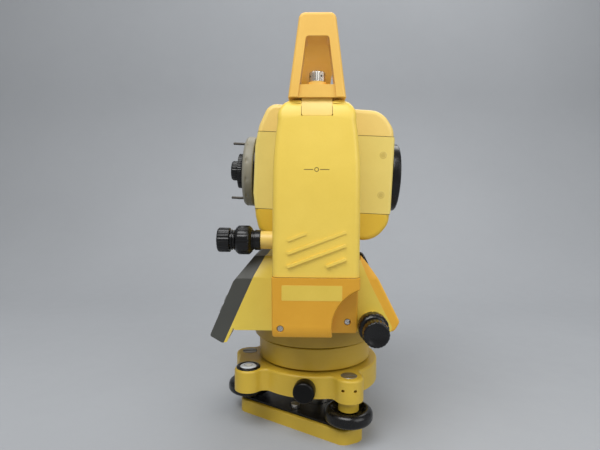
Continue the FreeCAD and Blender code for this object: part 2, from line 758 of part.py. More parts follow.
def display_housing():
    body = new_body("display_housing")
    sketch = new_sketch(body, "XZ")
    draw_outline(sketch, [PANEL_HEAD, DISPLAY_TOP, DISPLAY_KNEE, KEYS_FOOT, (-78.6, 84.6),
                          PANEL_FOOT, PANEL_BEND])
    pad(body, sketch, (120.0, "2 * Dims.block_half_width"), symmetric=True)
    ease(body, 2.0, lambda e: parallel(ACROSS)(e) and (e.CenterOfMass.x < -78.0))
    ease(body, 6.0, lambda e: parallel(ACROSS)(e) and abs(e.CenterOfMass.x + 68.4) < 0.01)
    swing_clearance(body)
    sloping_cheeks(body)
    recess = new_sketch(body, "XZ")
    draw_outline(recess, along_facet(DISPLAY_TOP, DISPLAY_KNEE, 3.6, 22.4, -1.2, 1.0))
    cut(body, recess, DISPLAY_LENGTH)
    for column in KEY_COLUMNS:
        for row in KEY_ROWS:
            reach = KEY_WIDTH / 2 + KEY_GAP
            well = new_sketch(body, "XZ", -column)
            draw_outline(well, along_facet(DISPLAY_KNEE, KEYS_FOOT, row - reach, row + reach,
                                           -3.0, 1.0))
            cut(body, well, KEY_LENGTH + 2 * KEY_GAP)


def display_window():
    body = new_body("display_window")
    sketch = new_sketch(body, "XZ")
    draw_outline(sketch, along_facet(DISPLAY_TOP, DISPLAY_KNEE, 3.7, 22.3, -1.2, -0.2))
    pad(body, sketch, DISPLAY_LENGTH - 0.2, symmetric=True)


def keys():
    index = 0
    for row in KEY_ROWS:
        for column in KEY_COLUMNS:
            index += 1
            body = new_body("key_%d" % index)
            sketch = new_sketch(body, "XZ", -column)
            half = KEY_WIDTH / 2
            draw_outline(sketch, along_facet(DISPLAY_KNEE, KEYS_FOOT, row - half, row + half,
                                             -number("key_depth"), number("key_rise")))
            pad(body, sketch, KEY_LENGTH, symmetric=True)
            ease(body, 0.8, lambda e: e.Length < 4.0 and e.Curve.TypeId == "Part::GeomLine")


def plate_level():
    body = new_body("plate_level")
    sketch = new_sketch(body, "XZ")
    draw_outline(sketch, [(-31.0, 132.0), (-19.0, 132.0), (-19.0, 141.6), (-31.0, 141.6)])
    pad(body, sketch, 56.0, symmetric=True)
    slot = new_sketch(body, "XZ")
    draw_circle(slot, -25.0, 139.4, 4.2)
    cut(body, slot, 40.0)


def optical_plummet():
    """Sloping eyepiece of the optical plummet with its focusing ring."""
    def slope(body):
        body.Placement = FreeCAD.Placement(
            Vector(number("plummet_x"), 0, number("plummet_z")),
            FreeCAD.Rotation(ACROSS * -1, number("plummet_rise")))
        body.setExpression("Placement.Base.x", "Dims.plummet_x")
        body.setExpression("Placement.Base.z", "Dims.plummet_z")
        body.setExpression("Placement.Rotation.Angle", "Dims.plummet_rise")

    tube = turned("plummet_tube", "X", [
        (-54.0, 0.0), (-54.0, 7.0), (-4.0, 7.0), (-4.0, 4.0), (-20.0, 4.0), (-20.0, 0.0)])
    slope(tube)
    ring_radius = number("plummet_ring_radius")
    ring = turned("plummet_ring", "X", [
        (-9.6, 7.05), (-9.6, ring_radius - 0.8), (-8.8, ring_radius), (-1.8, ring_radius),
        (0.0, ring_radius - 1.8), (0.0, 4.2), (-3.2, 4.2), (-3.2, 7.05)])
    slope(ring)


# ---------------------------------------------------------------- standards

def shoulder(low):
    """Outline (x, z) of a standard from its lower edge to its rounded shoulders."""
    side = [(34.0, low), (33.6, 215.0), (30.0, 265.0, (32.4, 245.0)),
            (19.0, 281.4, (27.2, 276.6))]
    mirrored = [(-19.0, 281.4), (-30.0, 265.0, (-27.2, 276.6)),
                (-33.6, 215.0, (-32.4, 245.0)), (-34.0, low)]
    return side + mirrored


def standard_face(side, low):
    """Everything outside the bulging outer face of a standard, as a (y, z) outline."""
    halfway = (low - 1.0 + 205.0) / 2
    return [(side * 85.4, low - 1.0), (side * 88.0, 205.0, (side * 87.1, halfway)),
            (side * 86.0, 262.0, (side * 87.6, 236.0)),
            (side * 79.0, 283.0, (side * 84.2, 273.4)), (side * 79.0, 290.0),
            (side * 96.0, 290.0), (side * 96.0, low - 1.0)]


def stand_box(body, x_low, x_high, y_low, y_high, z_low, z_high):
    """Box-shaped cut given by its limits."""
    sketch = new_sketch(body, "XZ", -(y_low + y_high) / 2)
    draw_outline(sketch, [(x_low, z_low), (x_high, z_low), (x_high, z_high), (x_low, z_high)])
    cut(body, sketch, y_high - y_low)


def between(first, second):
    return min(first, second), max(first, second)


def standard_frame(name, side):
    """Cast arm inside one standard, with its bearing and the seat of the handle."""
    body = new_body("standard_frame_" + name)
    plate = new_sketch(body, "XZ", -side * number("cheek_inside"))
    draw_outline(plate, shoulder(number("saddle_floor")))
    pad(body, plate, 4.0, backwards=side > 0)
    rib = new_sketch(body, "XZ", -side * number("standard_inside"))
    draw_outline(rib, [(27.0, "saddle_floor"), (27.0, 240.0), (22.0, 256.0), (-22.0, 256.0),
                       (-27.0, 240.0), (-27.0, "saddle_floor")])
    pad(body, rib, 12.0, backwards=side > 0)
    seat = new_sketch(body, "YZ")
    draw_outline(seat, [
        (side * 48.0, 254.0), (side * 48.0, "handle_bottom"), (side * 79.6, "handle_bottom"),
        (side * 84.5, 268.6, (side * 82.6, 276.0)), (side * 78.0, 268.6), (side * 78.0, 254.0)])
    pad(body, seat, 23.4, symmetric=True)
    ease(body, 1.6, lambda e: parallel(ACROSS)(e) and abs(e.CenterOfMass.z - 268.6) < 0.01
         and abs(e.CenterOfMass.x) > 11.0)
    bearing = new_sketch(body, "XZ", -side * 52.0)
    draw_circle(bearing, 0.0, "trunnion_height",
                plus("axle_radius", number("running_clearance")))
    cut(body, bearing, 18.0)
    tapped = new_sketch(body, "XY", "handle_bottom")
    draw_circle(tapped, 0.0, side * number("handle_screw_place"), 3.1)
    cut(body, tapped, 22.0)


def cover_shell(label, side, low):
    """Outer shell of a standard, open on the side that faces the telescope."""
    body = new_body(label)
    sketch = new_sketch(body, "XZ", -side * number("standard_inside"))
    draw_outline(sketch, shoulder(low))
    pad(body, sketch, 42.0, backwards=side > 0)
    face = new_sketch(body, "YZ")
    draw_outline(face, standard_face(side, low))
    cut(body, face)
    return body


SEAT_WALL = 78.6


def hollow_cover(body, side, low, front_wall):
    """Hollow a cover and open the notch round the handle's seat."""
    near, far = between(side * 40.0, side * front_wall)
    stand_box(body, -30.8, 30.8, near, far, low - 5.0, 258.0)
    near, far = between(side * 40.0, side * SEAT_WALL)
    stand_box(body, -17.0, 17.0, near, far, 252.0, 275.0)
    near, far = between(side * 40.0, side * 92.0)
    stand_box(body, -12.0, 12.0, near, far, 268.3, 290.0)


RIBS = (((-21.5, 173.9), (-8.1, 179.0)), ((-21.5, 163.7), (22.1, 180.1)),
        ((-21.5, 153.4), (22.2, 169.9)), ((8.4, 153.9), (22.4, 159.3)))
RIB_HALF_WIDTH = 1.0
RIB_NOSE = 0.7


def raised_ribs(body):
    """Four slanting ribs on the outer face of the right standard."""
    for first, second in RIBS:
        sketch = new_sketch(body, "XZ", 85.7)
        span = math.dist(first, second)
        run = ((second[0] - first[0]) / span, (second[1] - first[1]) / span)
        side = (-run[1] * RIB_HALF_WIDTH, run[0] * RIB_HALF_WIDTH)
        ahead = (run[0] * RIB_NOSE, run[1] * RIB_NOSE)
        draw_outline(sketch, [
            (first[0] + side[0], first[1] + side[1]),
            (first[0] - side[0], first[1] - side[1], (first[0] - ahead[0], first[1] - ahead[1])),
            (second[0] - side[0], second[1] - side[1]),
            (second[0] + side[0], second[1] + side[1],
             (second[0] + ahead[0], second[1] + ahead[1]))])
        pad(body, sketch, 2.3)


def outer_edges(side, low):
    """Edge test for the rim of a cover's outer face."""
    def chosen(edge):
        middle = edge.valueAt((edge.FirstParameter + edge.LastParameter) / 2)
        return (side * middle.y > 78.5 and middle.z > low + 0.5 and abs(middle.x) > 18.0
                and edge.BoundBox.ZLength > 0.5)
    return chosen


def right_cover():
    low = number("cover_seam")
    body = cover_shell("right_cover", -1, low)
    ease(body, 5.0, outer_edges(-1, low))
    hollow_cover(body, -1, low, 83.4)
    raised_ribs(body)


def left_cover():
    low = number("cover_bottom")
    body = cover_shell("left_cover", 1, low)
    ease(body, 5.0, outer_edges(1, low))
    hollow_cover(body, 1, low + 7.6, 63.4)
    stand_box(body, -30.4, 30.4, 66.0, 95.0, 112.0, 236.4)


SCALLOP_RADIUS = 33.0
SCALLOP_DEPTH = 72.2


def right_lower_cover():
    """Lower cover of the right standard, scooped out for the fingers at the drive knob."""
    body = new_body("right_lower_cover")
    low = number("cover_bottom")
    sketch = new_sketch(body, "XZ", "standard_inside")
    draw_outline(sketch, [
        (-31.5, low), (-34.0, low + 2.5, (-33.3, low + 0.7)), (-34.3, "cover_seam"),
        (34.3, "cover_seam"), (34.0, low + 2.5), (31.5, low, (33.3, low + 0.7))])
    pad(body, sketch, 42.0)
    face = new_sketch(body, "YZ")
    draw_outline(face, [(-83.4, low - 1.0), (-85.8, 108.0, (-85.2, 101.0)), (-86.9, 145.5),
                        (-96.0, 145.5), (-96.0, low - 1.0)])
    cut(body, face)
    scallop = new_sketch(body, "XZ", SCALLOP_DEPTH + 14.0)
    draw_circle(scallop, "horizontal_drive_front", "horizontal_drive_height", SCALLOP_RADIUS)
    cut(body, scallop, 28.0)
    ease(body, 1.4, lambda e: e.BoundBox.YMax < -72.0 and e.CenterOfMass.z < 144.0)
    stand_box(body, -30.8, 9.6, -82.0, -40.0, low + 2.6, 150.0)
    stand_box(body, 9.0, 30.8, -69.8, -40.0, low + 2.6, 150.0)
    for x, face_y, z in COVER_SCREWS:
        hole = new_sketch(body, "XZ", -face_y)
        draw_circle(hole, x, z, 2.8)
        cut(body, hole, 2.8)
        shank = new_sketch(body, "XZ", -face_y)
        draw_circle(shank, x, z, 1.4)
        cut(body, shank, 12.0)


COVER_SCREWS = ((-27.5, -85.4, 104.3), (25.8, -72.2, 106.6))


def cover_screws():
    members = []
    for index, (x, face_y, z) in enumerate(COVER_SCREWS):
        spot = Vector(x, face_y + 1.4, z)
        members.append(headed_pin("cover_screw_%d" % index, 2.5, 1.3, 1.2, 3.0, spot,
                                  ACROSS * -1))
    grouped("cover_screws", members)


def battery():
    body = new_body("battery")
    sketch = new_sketch(body, "XZ", -66.2)
    draw_outline(sketch, [(-30.1, 112.3), (30.1, 112.3), (30.1, 236.1), (-30.1, 236.1)])
    pad(body, sketch, 25.0, backwards=True)
    ease(body, 2.5, lambda e: e.BoundBox.YMin > 91.0)


# ---------------------------------------------------------------- handle

def handle():
    body = new_body("handle")
    top = number("handle_top")
    low = number("handle_bottom")
    half = [(22.0, low), (14.3, top - 5.0), (9.6, top, (12.8, top - 1.5))]
    mirrored = [(-9.6, top), (-14.3, top - 5.0, (-12.8, top - 1.5)), (-22.0, low)]
    sketch = new_sketch(body, "XZ")
    draw_outline(sketch, half + mirrored)
    pad(body, sketch, (170.0, "2 * Dims.handle_half_length"), symmetric=True)
    ends = 84.9
    ease(body, 2.6, lambda e: abs(e.CenterOfMass.y) > ends and e.CenterOfMass.z > low + 1.0)
    gap = new_sketch(body, "YZ")
    inside = number("handle_half_length") - number("handle_leg")
    under = number("grip_underside")
    draw_outline(gap, [(-inside, low - 2.0), (inside, low - 2.0), (inside, under - 6.0),
                       (inside - 6.0, under, (inside - 1.8, under - 1.8)), (6.0 - inside, under),
                       (-inside, under - 6.0, (1.8 - inside, under - 1.8))])
    cut(body, gap)
    window = new_sketch(body, "XZ")
    draw_outline(window, [(-13.4, "block_top"), (13.4, "block_top"), (8.9, 325.4),
                          (6.9, 327.4, (8.2, 326.8)), (-6.9, 327.4),
                          (-8.9, 325.4, (-8.2, 326.8))])
    cut(body, window)
    for side in (-1, 1):
        step = new_sketch(body, "XZ", side * 86.8)
        draw_outline(step, [(-14.8, low - 1.0), (14.8, low - 1.0), (13.4, "block_top"),
                            (-13.4, "block_top")])
        cut(body, step, 7.0)
    for side in (-1, 1):
        boss = new_sketch(body, "XY", plus("block_top", -1.0))
        draw_circle(boss, 0.0, side * number("handle_screw_place"), 7.6)
        pad(body, boss, 3.4)
    holes = new_sketch(body, "XY", "block_top")
    for side in (-1, 1):
        draw_circle(holes, 0.0, side * number("handle_screw_place"), 3.2)
    cut(body, holes, 24.0)


def handle_lock(name, side):
    """Knurled screw that holds one end of the handle."""
    seat = number("block_top") + 2.6
    body = turned("handle_lock_" + name, "Z", [
        (0.0, 273.0), (3.0, 273.0), (3.0, seat), (6.4, seat), (6.4, seat + 8.0),
        (0.0, seat + 8.0)])
    ease(body, 0.7, rim((6.4, seat), (6.4, seat + 8.0)), chamfer=True)
    shift(body, 0.0, side * number("handle_screw_place"), 0.0)


# ---------------------------------------------------------------- telescope

def telescope_band():
    """Middle housing of the telescope with its through bore."""
    body = new_body("telescope_body")
    sketch = new_sketch(body, "XZ")
    draw_outline(sketch, [
        (-51.6, "band_top"), (-53.5, 20.0), (-53.5, -20.0), (-51.6, "band_bottom"),
        (65.0, "band_bottom"), (66.0, -30.0), (66.0, 30.0), (65.0, "band_top")])
    pad(body, sketch, (81.0, "2 * Dims.telescope_half_width"), symmetric=True)
    ease(body, 3.0, lambda e: abs(e.CenterOfMass.y) > 40.4 and e.BoundBox.ZLength > 12.0
         and e.BoundBox.XLength < 3.0)
    tube = new_sketch(body, "YZ")
    draw_circle(tube, 0.0, 0.0, "tube_bore")
    cut(body, tube)
    mouth = new_sketch(body, "YZ", 66.0)
    draw_circle(mouth, 0.0, 0.0, 26.1)
    cut(body, mouth, 26.0)
    sockets = new_sketch(body, "XZ")
    draw_circle(sockets, 0.0, 0.0, plus("axle_radius", 0.02))
    cut(body, sockets)
    tilt_with_telescope(body)


TELESCOPE_CORNERS = {
    # side view (x, z, rounding) of each shell's four outer corners, from rear to front
    "top": ((-50.9, 38.0, 24.0), (-43.0, 57.0, 11.0), (54.0, 54.8, 20.0), (65.1, 39.0, 16.0)),
    "bottom": ((-50.8, -40.0, 24.0), (-46.0, -56.8, 11.0), (53.5, -56.8, 21.0),
               (65.3, -41.0, 17.0))}


def telescope_cover(name, sign):
    """Upper or lower shell of the telescope."""
    seam = number("band_top") if sign > 0 else number("band_bottom")
    body = new_body("telescope_" + name)
    corners = TELESCOPE_CORNERS[name]
    sketch = new_sketch(body, "XZ")
    draw_outline(sketch, [(-51.6, seam)] + [(x, z) for x, z, rounding in corners]
                 + [(65.0, seam)])
    pad(body, sketch, (81.0, "2 * Dims.telescope_half_width"), symmetric=True)
    for x, z, rounding in corners:
        ease(body, rounding, lambda e, x=x, z=z: parallel(ACROSS)(e)
             and abs(e.CenterOfMass.x - x) < 0.01 and abs(e.CenterOfMass.z - z) < 0.01)
    ease(body, 4.5, lambda e: abs(e.CenterOfMass.y) > 40.4 and abs(e.CenterOfMass.z) > 34.2)
    room = new_sketch(body, "XZ")
    draw_outline(room, [(-46.0, seam), (-46.0, sign * 46.0), (-40.0, sign * 52.0),
                        (46.0, sign * 51.6), (58.0, sign * 42.0), (60.0, seam)])
    cut(body, room, 74.0)
    tilt_with_telescope(body)


def trunnion_axles():
    members = []
    pivot = Vector(0, 0, number("trunnion_height"))
    inner_end = 27.0
    for name, side, step, nose in (("right", -1, 63.0, 4.0), ("left", 1, 58.0, 3.0)):
        spot = pivot + ACROSS * (side * step)
        members.append(headed_pin("axle_" + name, 8.0, nose, "axle_radius", step - inner_end,
                                  spot, ACROSS * side))
    grouped("trunnion_axles", members)


def vertical_circle():
    body = turned("vertical_circle", "Y", [
        (-63.0, 8.05), (-65.0, 8.05), (-65.0, 25.0), (-63.0, 25.0)])
    tilt_with_telescope(body)


def objective():
    radius = number("objective_radius")
    ring = turned("objective_ring", "X", [
        (53.2, 23.2), (53.2, 26.0), (66.0, 26.0), (66.0, radius - 1.0), (69.0, radius),
        (73.8, radius), (75.0, radius - 1.2), (75.0, 28.2), (72.0, 26.4), (70.4, 23.2)])
    tilt_with_telescope(ring)
    lens = turned("objective_lens", "X", [
        (58.0, 0.0), (58.0, 1.0), (59.5, 23.1, (58.4, 12.0)), (66.5, 23.1),
        (69.5, 1.0, (68.8, 12.0)), (69.5, 0.0)])
    tilt_with_telescope(lens)


def rear_barrel():
    body = turned("rear_barrel", "X", [
        (-53.5, 9.0), (-53.5, 29.0), (-64.1, 29.0), (-64.1, 15.6), (-72.2, 15.6), (-72.2, 9.0)])
    ease(body, 0.8, rim((15.6, -72.2)), chamfer=True)
    tilt_with_telescope(body)


def focusing_ring():
    radius = number("focus_ring_radius")
    body = turned("focusing_ring", "X", [
        (-56.0, 29.3), (-56.0, radius - 1.0), (-57.0, radius), (-62.6, radius),
        (-65.6, radius - 3.0, (-64.7, radius - 0.9)), (-65.6, 16.2), (-64.5, 16.2),
        (-64.5, 29.3)])
    posts = new_sketch(body, "YZ", -71.7)
    for side in (-1, 1):
        draw_circle(posts, 0.0, side * number("post_circle"), 1.2)
    pad(body, posts, 14.2, symmetric=True)
    tilt_with_telescope(body)


def focusing_lens():
    body = turned("focusing_lens", "X", [
        (-3.0, 0.0), (-3.0, 23.7), (3.0, 23.7), (3.0, 0.0)])
    tilt_with_telescope(body)


def eyepiece():
    radius = number("eyepiece_radius")
    body = turned("eyepiece", "X", [
        (-58.0, 5.0), (-58.0, 8.7), (-72.5, 8.7), (-72.5, radius - 0.6), (-73.1, radius),
        (-77.8, radius), (-79.0, radius - 1.2), (-79.0, 6.4), (-77.1, 5.0)])
    tilt_with_telescope(body)


# ---------------------------------------------------------------- clamps and slow motion

def drive_profile(reach, along):
    """Slow motion knob profile; reach maps a distance from the boss to a place on the axis."""
    knob = number("drive_knob_radius")
    neck = number("drive_neck_radius")
    return [(reach(along[0]), 0.0), (reach(along[0]), 3.8), (reach(along[1]), 3.8),
            (reach(along[1]), neck), (reach(along[2]), neck), (reach(along[2]), knob - 0.8),
            (reach(along[2] + 0.8), knob), (reach(along[3] - 1.2), knob),
            (reach(along[3]), knob - 1.2), (reach(along[3]), 0.0)]


def clamp_profile(reach, along):
    """Clamp collar profile round the slow motion screw."""
    ring = number("drive_ring_radius")
    neck = number("drive_neck_radius")
    return [(reach(along[0]), 4.2), (reach(along[0]), neck), (reach(along[1]), neck),
            (reach(along[1]), ring - 2.0), (reach(along[1] + 2.0), ring),
            (reach(along[2] - 2.0), ring), (reach(along[2]), ring - 2.0),
            (reach(along[2]), 4.2)]


VERTICAL_CLAMP = (45.8, 52.5, 66.0)
VERTICAL_SCREW = (47.0, 66.3, 70.5, 81.0)
HORIZONTAL_CLAMP = (66.3, 73.0, 86.0)
HORIZONTAL_SCREW = (67.5, 86.3, 90.0, 100.0)


def vertical_drive():
    clamp = turned("vertical_clamp", "X", clamp_profile(lambda d: -d, VERTICAL_CLAMP))
    screw = turned("vertical_tangent_screw", "X", drive_profile(lambda d: -d, VERTICAL_SCREW))
    for body in (clamp, screw):
        shift(body, 0.0, "vertical_drive_side", "vertical_drive_height")


def horizontal_drive():
    clamp = turned("horizontal_clamp", "Y", clamp_profile(lambda d: -d, HORIZONTAL_CLAMP))
    screw = turned("horizontal_tangent_screw", "Y",
                   drive_profile(lambda d: -d, HORIZONTAL_SCREW))
    for body in (clamp, screw):
        shift(body, "horizontal_drive_front", 0.0, "horizontal_drive_height")


def drive_bosses():
    """Fixed bosses that carry the two slow motion screws."""
    vertical = cylinder(
        "vertical_boss", "drive_boss_radius", 11.2,
        Vector(-34.2, number("vertical_drive_side"), number("vertical_drive_height")), AHEAD * -1)
    horizontal = cylinder(
        "horizontal_boss", "drive_boss_radius", 6.0,
        Vector(number("horizontal_drive_front"), -60.0, number("horizontal_drive_height")),
        ACROSS * -1)
    grouped("drive_bosses", [vertical, horizontal])


# ---------------------------------------------------------------- assembly and export

def build():
    base_plate()
    spring_plate()
    base_screws()
    tripod_bush()
    for name, degrees in FOOT_ANGLES.items():
        ball_tip(name, degrees)
        foot_screw(name, degrees)
    tribrach_body()
    foot_caps()
    circular_level()
    tribrach_lock_knob()
    lower_housing()
    axis_sleeve()
    horizontal_circle()
    axis_spindle()
    rotating_flange()
    alidade_base()
    front_cover()
    display_housing()
    display_window()
    keys()
    plate_level()
    optical_plummet()
    for name, side in (("right", -1), ("left", 1)):
        standard_frame(name, side)
        handle_lock(name, side)
    right_cover()
    left_cover()
    right_lower_cover()
    cover_screws()
    battery()
    handle()
    telescope_band()
    telescope_cover("top", 1)
    telescope_cover("bottom", -1)
    trunnion_axles()
    vertical_circle()
    objective()
    rear_barrel()
    focusing_ring()
    focusing_lens()
    eyepiece()
    vertical_drive()
    horizontal_drive()
    drive_bosses()


def check():
    """Stop if any object failed to compute or any node isn't a sound solid."""
    doc.recompute()
    for thing in doc.Objects:
        if "Invalid" in thing.State or "Error" in thing.State:
            raise ValueError("%s is in state %s" % (thing.Label, thing.State))
    for node in nodes:
        if node.Shape.isNull() or not node.Shape.isValid() or not node.Shape.Solids:
            raise ValueError("%s has no sound shape" % node.Label)


def export():
    os.makedirs("parts", exist_ok=True)
    for node in nodes:
        node.Shape.exportStep(os.path.join("parts", node.Label + ".step"))
    print("%d nodes written" % len(nodes))


make_sheet()
build()
check()
export()
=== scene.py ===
"""Looks of an electronic theodolite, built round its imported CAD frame. Units are metres."""
import json
import math

import bmesh
import bpy
from mathutils import Matrix, Vector
from mathutils.bvhtree import BVHTree

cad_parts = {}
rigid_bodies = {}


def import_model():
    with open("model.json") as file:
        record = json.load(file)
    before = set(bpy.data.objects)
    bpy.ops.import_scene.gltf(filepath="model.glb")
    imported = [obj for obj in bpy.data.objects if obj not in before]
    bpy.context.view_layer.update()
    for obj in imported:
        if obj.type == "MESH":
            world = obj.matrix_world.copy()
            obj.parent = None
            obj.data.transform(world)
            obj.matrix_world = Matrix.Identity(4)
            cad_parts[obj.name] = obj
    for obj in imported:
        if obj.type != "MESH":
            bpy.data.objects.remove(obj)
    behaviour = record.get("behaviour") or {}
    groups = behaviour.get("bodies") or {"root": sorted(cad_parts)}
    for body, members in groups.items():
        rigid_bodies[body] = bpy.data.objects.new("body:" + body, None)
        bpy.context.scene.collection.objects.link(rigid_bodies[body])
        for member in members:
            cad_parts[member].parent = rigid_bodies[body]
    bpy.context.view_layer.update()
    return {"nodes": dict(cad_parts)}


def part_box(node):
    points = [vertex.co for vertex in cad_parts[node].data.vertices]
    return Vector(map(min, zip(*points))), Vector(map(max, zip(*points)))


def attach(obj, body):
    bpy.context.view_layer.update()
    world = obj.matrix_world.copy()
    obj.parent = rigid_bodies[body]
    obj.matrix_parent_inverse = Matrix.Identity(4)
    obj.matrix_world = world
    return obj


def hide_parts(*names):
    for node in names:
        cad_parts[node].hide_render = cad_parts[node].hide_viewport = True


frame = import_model()
nodes = frame["nodes"]


# ---------------------------------------------------------------- materials

def link(tree, source, target):
    tree.links.new(source, target)


def add(tree, kind, **values):
    """A shader node with the given values for its properties."""
    node = tree.nodes.new(kind)
    for key, value in values.items():
        setattr(node, key, value)
    return node


def noise(tree, place, scale, detail=3.0, roughness=0.5):
    node = add(tree, "ShaderNodeTexNoise")
    node.inputs["Scale"].default_value = scale
    node.inputs["Detail"].default_value = detail
    node.inputs["Roughness"].default_value = roughness
    link(tree, place, node.inputs["Vector"])
    return node.outputs["Fac"]


def remap(tree, value, low, high, to_low=0.0, to_high=1.0):
    node = add(tree, "ShaderNodeMapRange")
    node.inputs["From Min"].default_value = low
    node.inputs["From Max"].default_value = high
    node.inputs["To Min"].default_value = to_low
    node.inputs["To Max"].default_value = to_high
    link(tree, value, node.inputs["Value"])
    return node.outputs["Result"]


def maths(tree, operation, a, b):
    node = add(tree, "ShaderNodeMath", operation=operation)
    for socket, value in zip(node.inputs, (a, b)):
        if isinstance(value, (int, float)):
            socket.default_value = value
        else:
            link(tree, value, socket)
    return node.outputs[0]


def blend(tree, share, a, b, mode="MIX"):
    """A colour mix; a and b are colours or sockets."""
    node = add(tree, "ShaderNodeMix", data_type="RGBA", blend_type=mode)
    if isinstance(share, (int, float)):
        node.inputs[0].default_value = share
    else:
        link(tree, share, node.inputs[0])
    for socket, value in ((node.inputs[6], a), (node.inputs[7], b)):
        if isinstance(value, tuple):
            socket.default_value = (*value, 1.0)
        else:
            link(tree, value, socket)
    return node.outputs[2]


def srgb(r, g, b):
    """A linear colour from 0-255 display values."""
    def one(v):
        v /= 255
        return v / 12.92 if v <= 0.04045 else ((v + 0.055) / 1.055) ** 2.4
    return (one(r), one(g), one(b))


def edge_mask(tree, radius):
    """1 on convex and concave edges within radius, 0 on flats."""
    bevel = add(tree, "ShaderNodeBevel", samples=4)
    bevel.inputs["Radius"].default_value = radius
    shape = add(tree, "ShaderNodeNewGeometry")
    dot = add(tree, "ShaderNodeVectorMath", operation="DOT_PRODUCT")
    link(tree, bevel.outputs[0], dot.inputs[0])
    link(tree, shape.outputs["Normal"], dot.inputs[1])
    return remap(tree, dot.outputs["Value"], 0.995, 0.90)


def finish_material(name, base, light, dark, wear, roughness, metallic=0.0, grain=900.0,
                    bump=0.03, patch=18.0, wear_amount=0.5, edge=0.0006, coat=0.0,
                    specular=0.5):
    """A moulded, painted or machined surface with drift in colour, worn edges, uneven gloss
    and fine grain. Colours are 0-255 display values."""
    base, light, dark, wear = (srgb(*colour) for colour in (base, light, dark, wear))
    material = bpy.data.materials.new(name)
    material.use_nodes = True
    tree = material.node_tree
    tree.nodes.clear()
    output = add(tree, "ShaderNodeOutputMaterial")
    shader = add(tree, "ShaderNodeBsdfPrincipled")
    link(tree, shader.outputs[0], output.inputs["Surface"])
    place = add(tree, "ShaderNodeTexCoord").outputs["Object"]
    drift = remap(tree, noise(tree, place, patch, 4.0, 0.55), 0.32, 0.68)
    colour = blend(tree, drift, dark, light)
    colour = blend(tree, 0.55, colour, base)
    speckle = remap(tree, noise(tree, place, grain * 0.5, 2.0), 0.35, 0.65)
    colour = blend(tree, maths(tree, "MULTIPLY", speckle, 0.10), colour, dark)
    worn = maths(tree, "MULTIPLY", edge_mask(tree, edge),
                 remap(tree, noise(tree, place, 160.0, 5.0, 0.7), 0.46, 0.62))
    worn = maths(tree, "MULTIPLY", worn, wear_amount)
    colour = blend(tree, worn, colour, wear)
    link(tree, colour, shader.inputs["Base Color"])
    smear = noise(tree, place, 45.0, 6.0, 0.65)
    link(tree, remap(tree, smear, 0.3, 0.7, roughness - 0.06, roughness + 0.08),
         shader.inputs["Roughness"])
    shader.inputs["Metallic"].default_value = metallic
    shader.inputs["Coat Weight"].default_value = coat
    shader.inputs["Coat Roughness"].default_value = 0.18
    shader.inputs["Specular IOR Level"].default_value = specular
    relief = add(tree, "ShaderNodeBump")
    relief.inputs["Strength"].default_value = 1.0
    relief.inputs["Distance"].default_value = bump * 0.001
    link(tree, noise(tree, place, grain, 2.0), relief.inputs["Height"])
    link(tree, relief.outputs[0], shader.inputs["Normal"])
    return material


def glass_material(name, tint, roughness=0.03):
    material = bpy.data.materials.new(name)
    material.use_nodes = True
    tree = material.node_tree
    shader = tree.nodes["Principled BSDF"]
    place = add(tree, "ShaderNodeTexCoord").outputs["Object"]
    smear = noise(tree, place, 120.0, 5.0, 0.6)
    link(tree, blend(tree, remap(tree, smear, 0.35, 0.65), tint, tuple(c * 0.9 for c in tint)),
         shader.inputs["Base Color"])
    link(tree, remap(tree, smear, 0.3, 0.7, roughness, roughness + 0.06),
         shader.inputs["Roughness"])
    shader.inputs["Transmission Weight"].default_value = 1.0
    shader.inputs["IOR"].default_value = 1.5
    return material


PAINTED = dict(roughness=0.40, bump=0.02, grain=1400.0, wear=(250, 230, 165), wear_amount=0.35)
MOULDED = dict(roughness=0.46, bump=0.03, grain=1100.0, wear=(252, 226, 160), wear_amount=0.30)
GLOSSY = dict(wear=(70, 70, 68), wear_amount=0.25, bump=0.006, coat=0.12, specular=0.34)


def painted(name, base, kind=PAINTED):
    """A paint whose light and dark drift lie close to its base colour."""
    light = tuple(min(255, c + 7) for c in base)
    dark = (base[0] - 12, base[1] - 14, max(base[2] - 14, 0))
    return finish_material(name, base, light, dark, **kind)


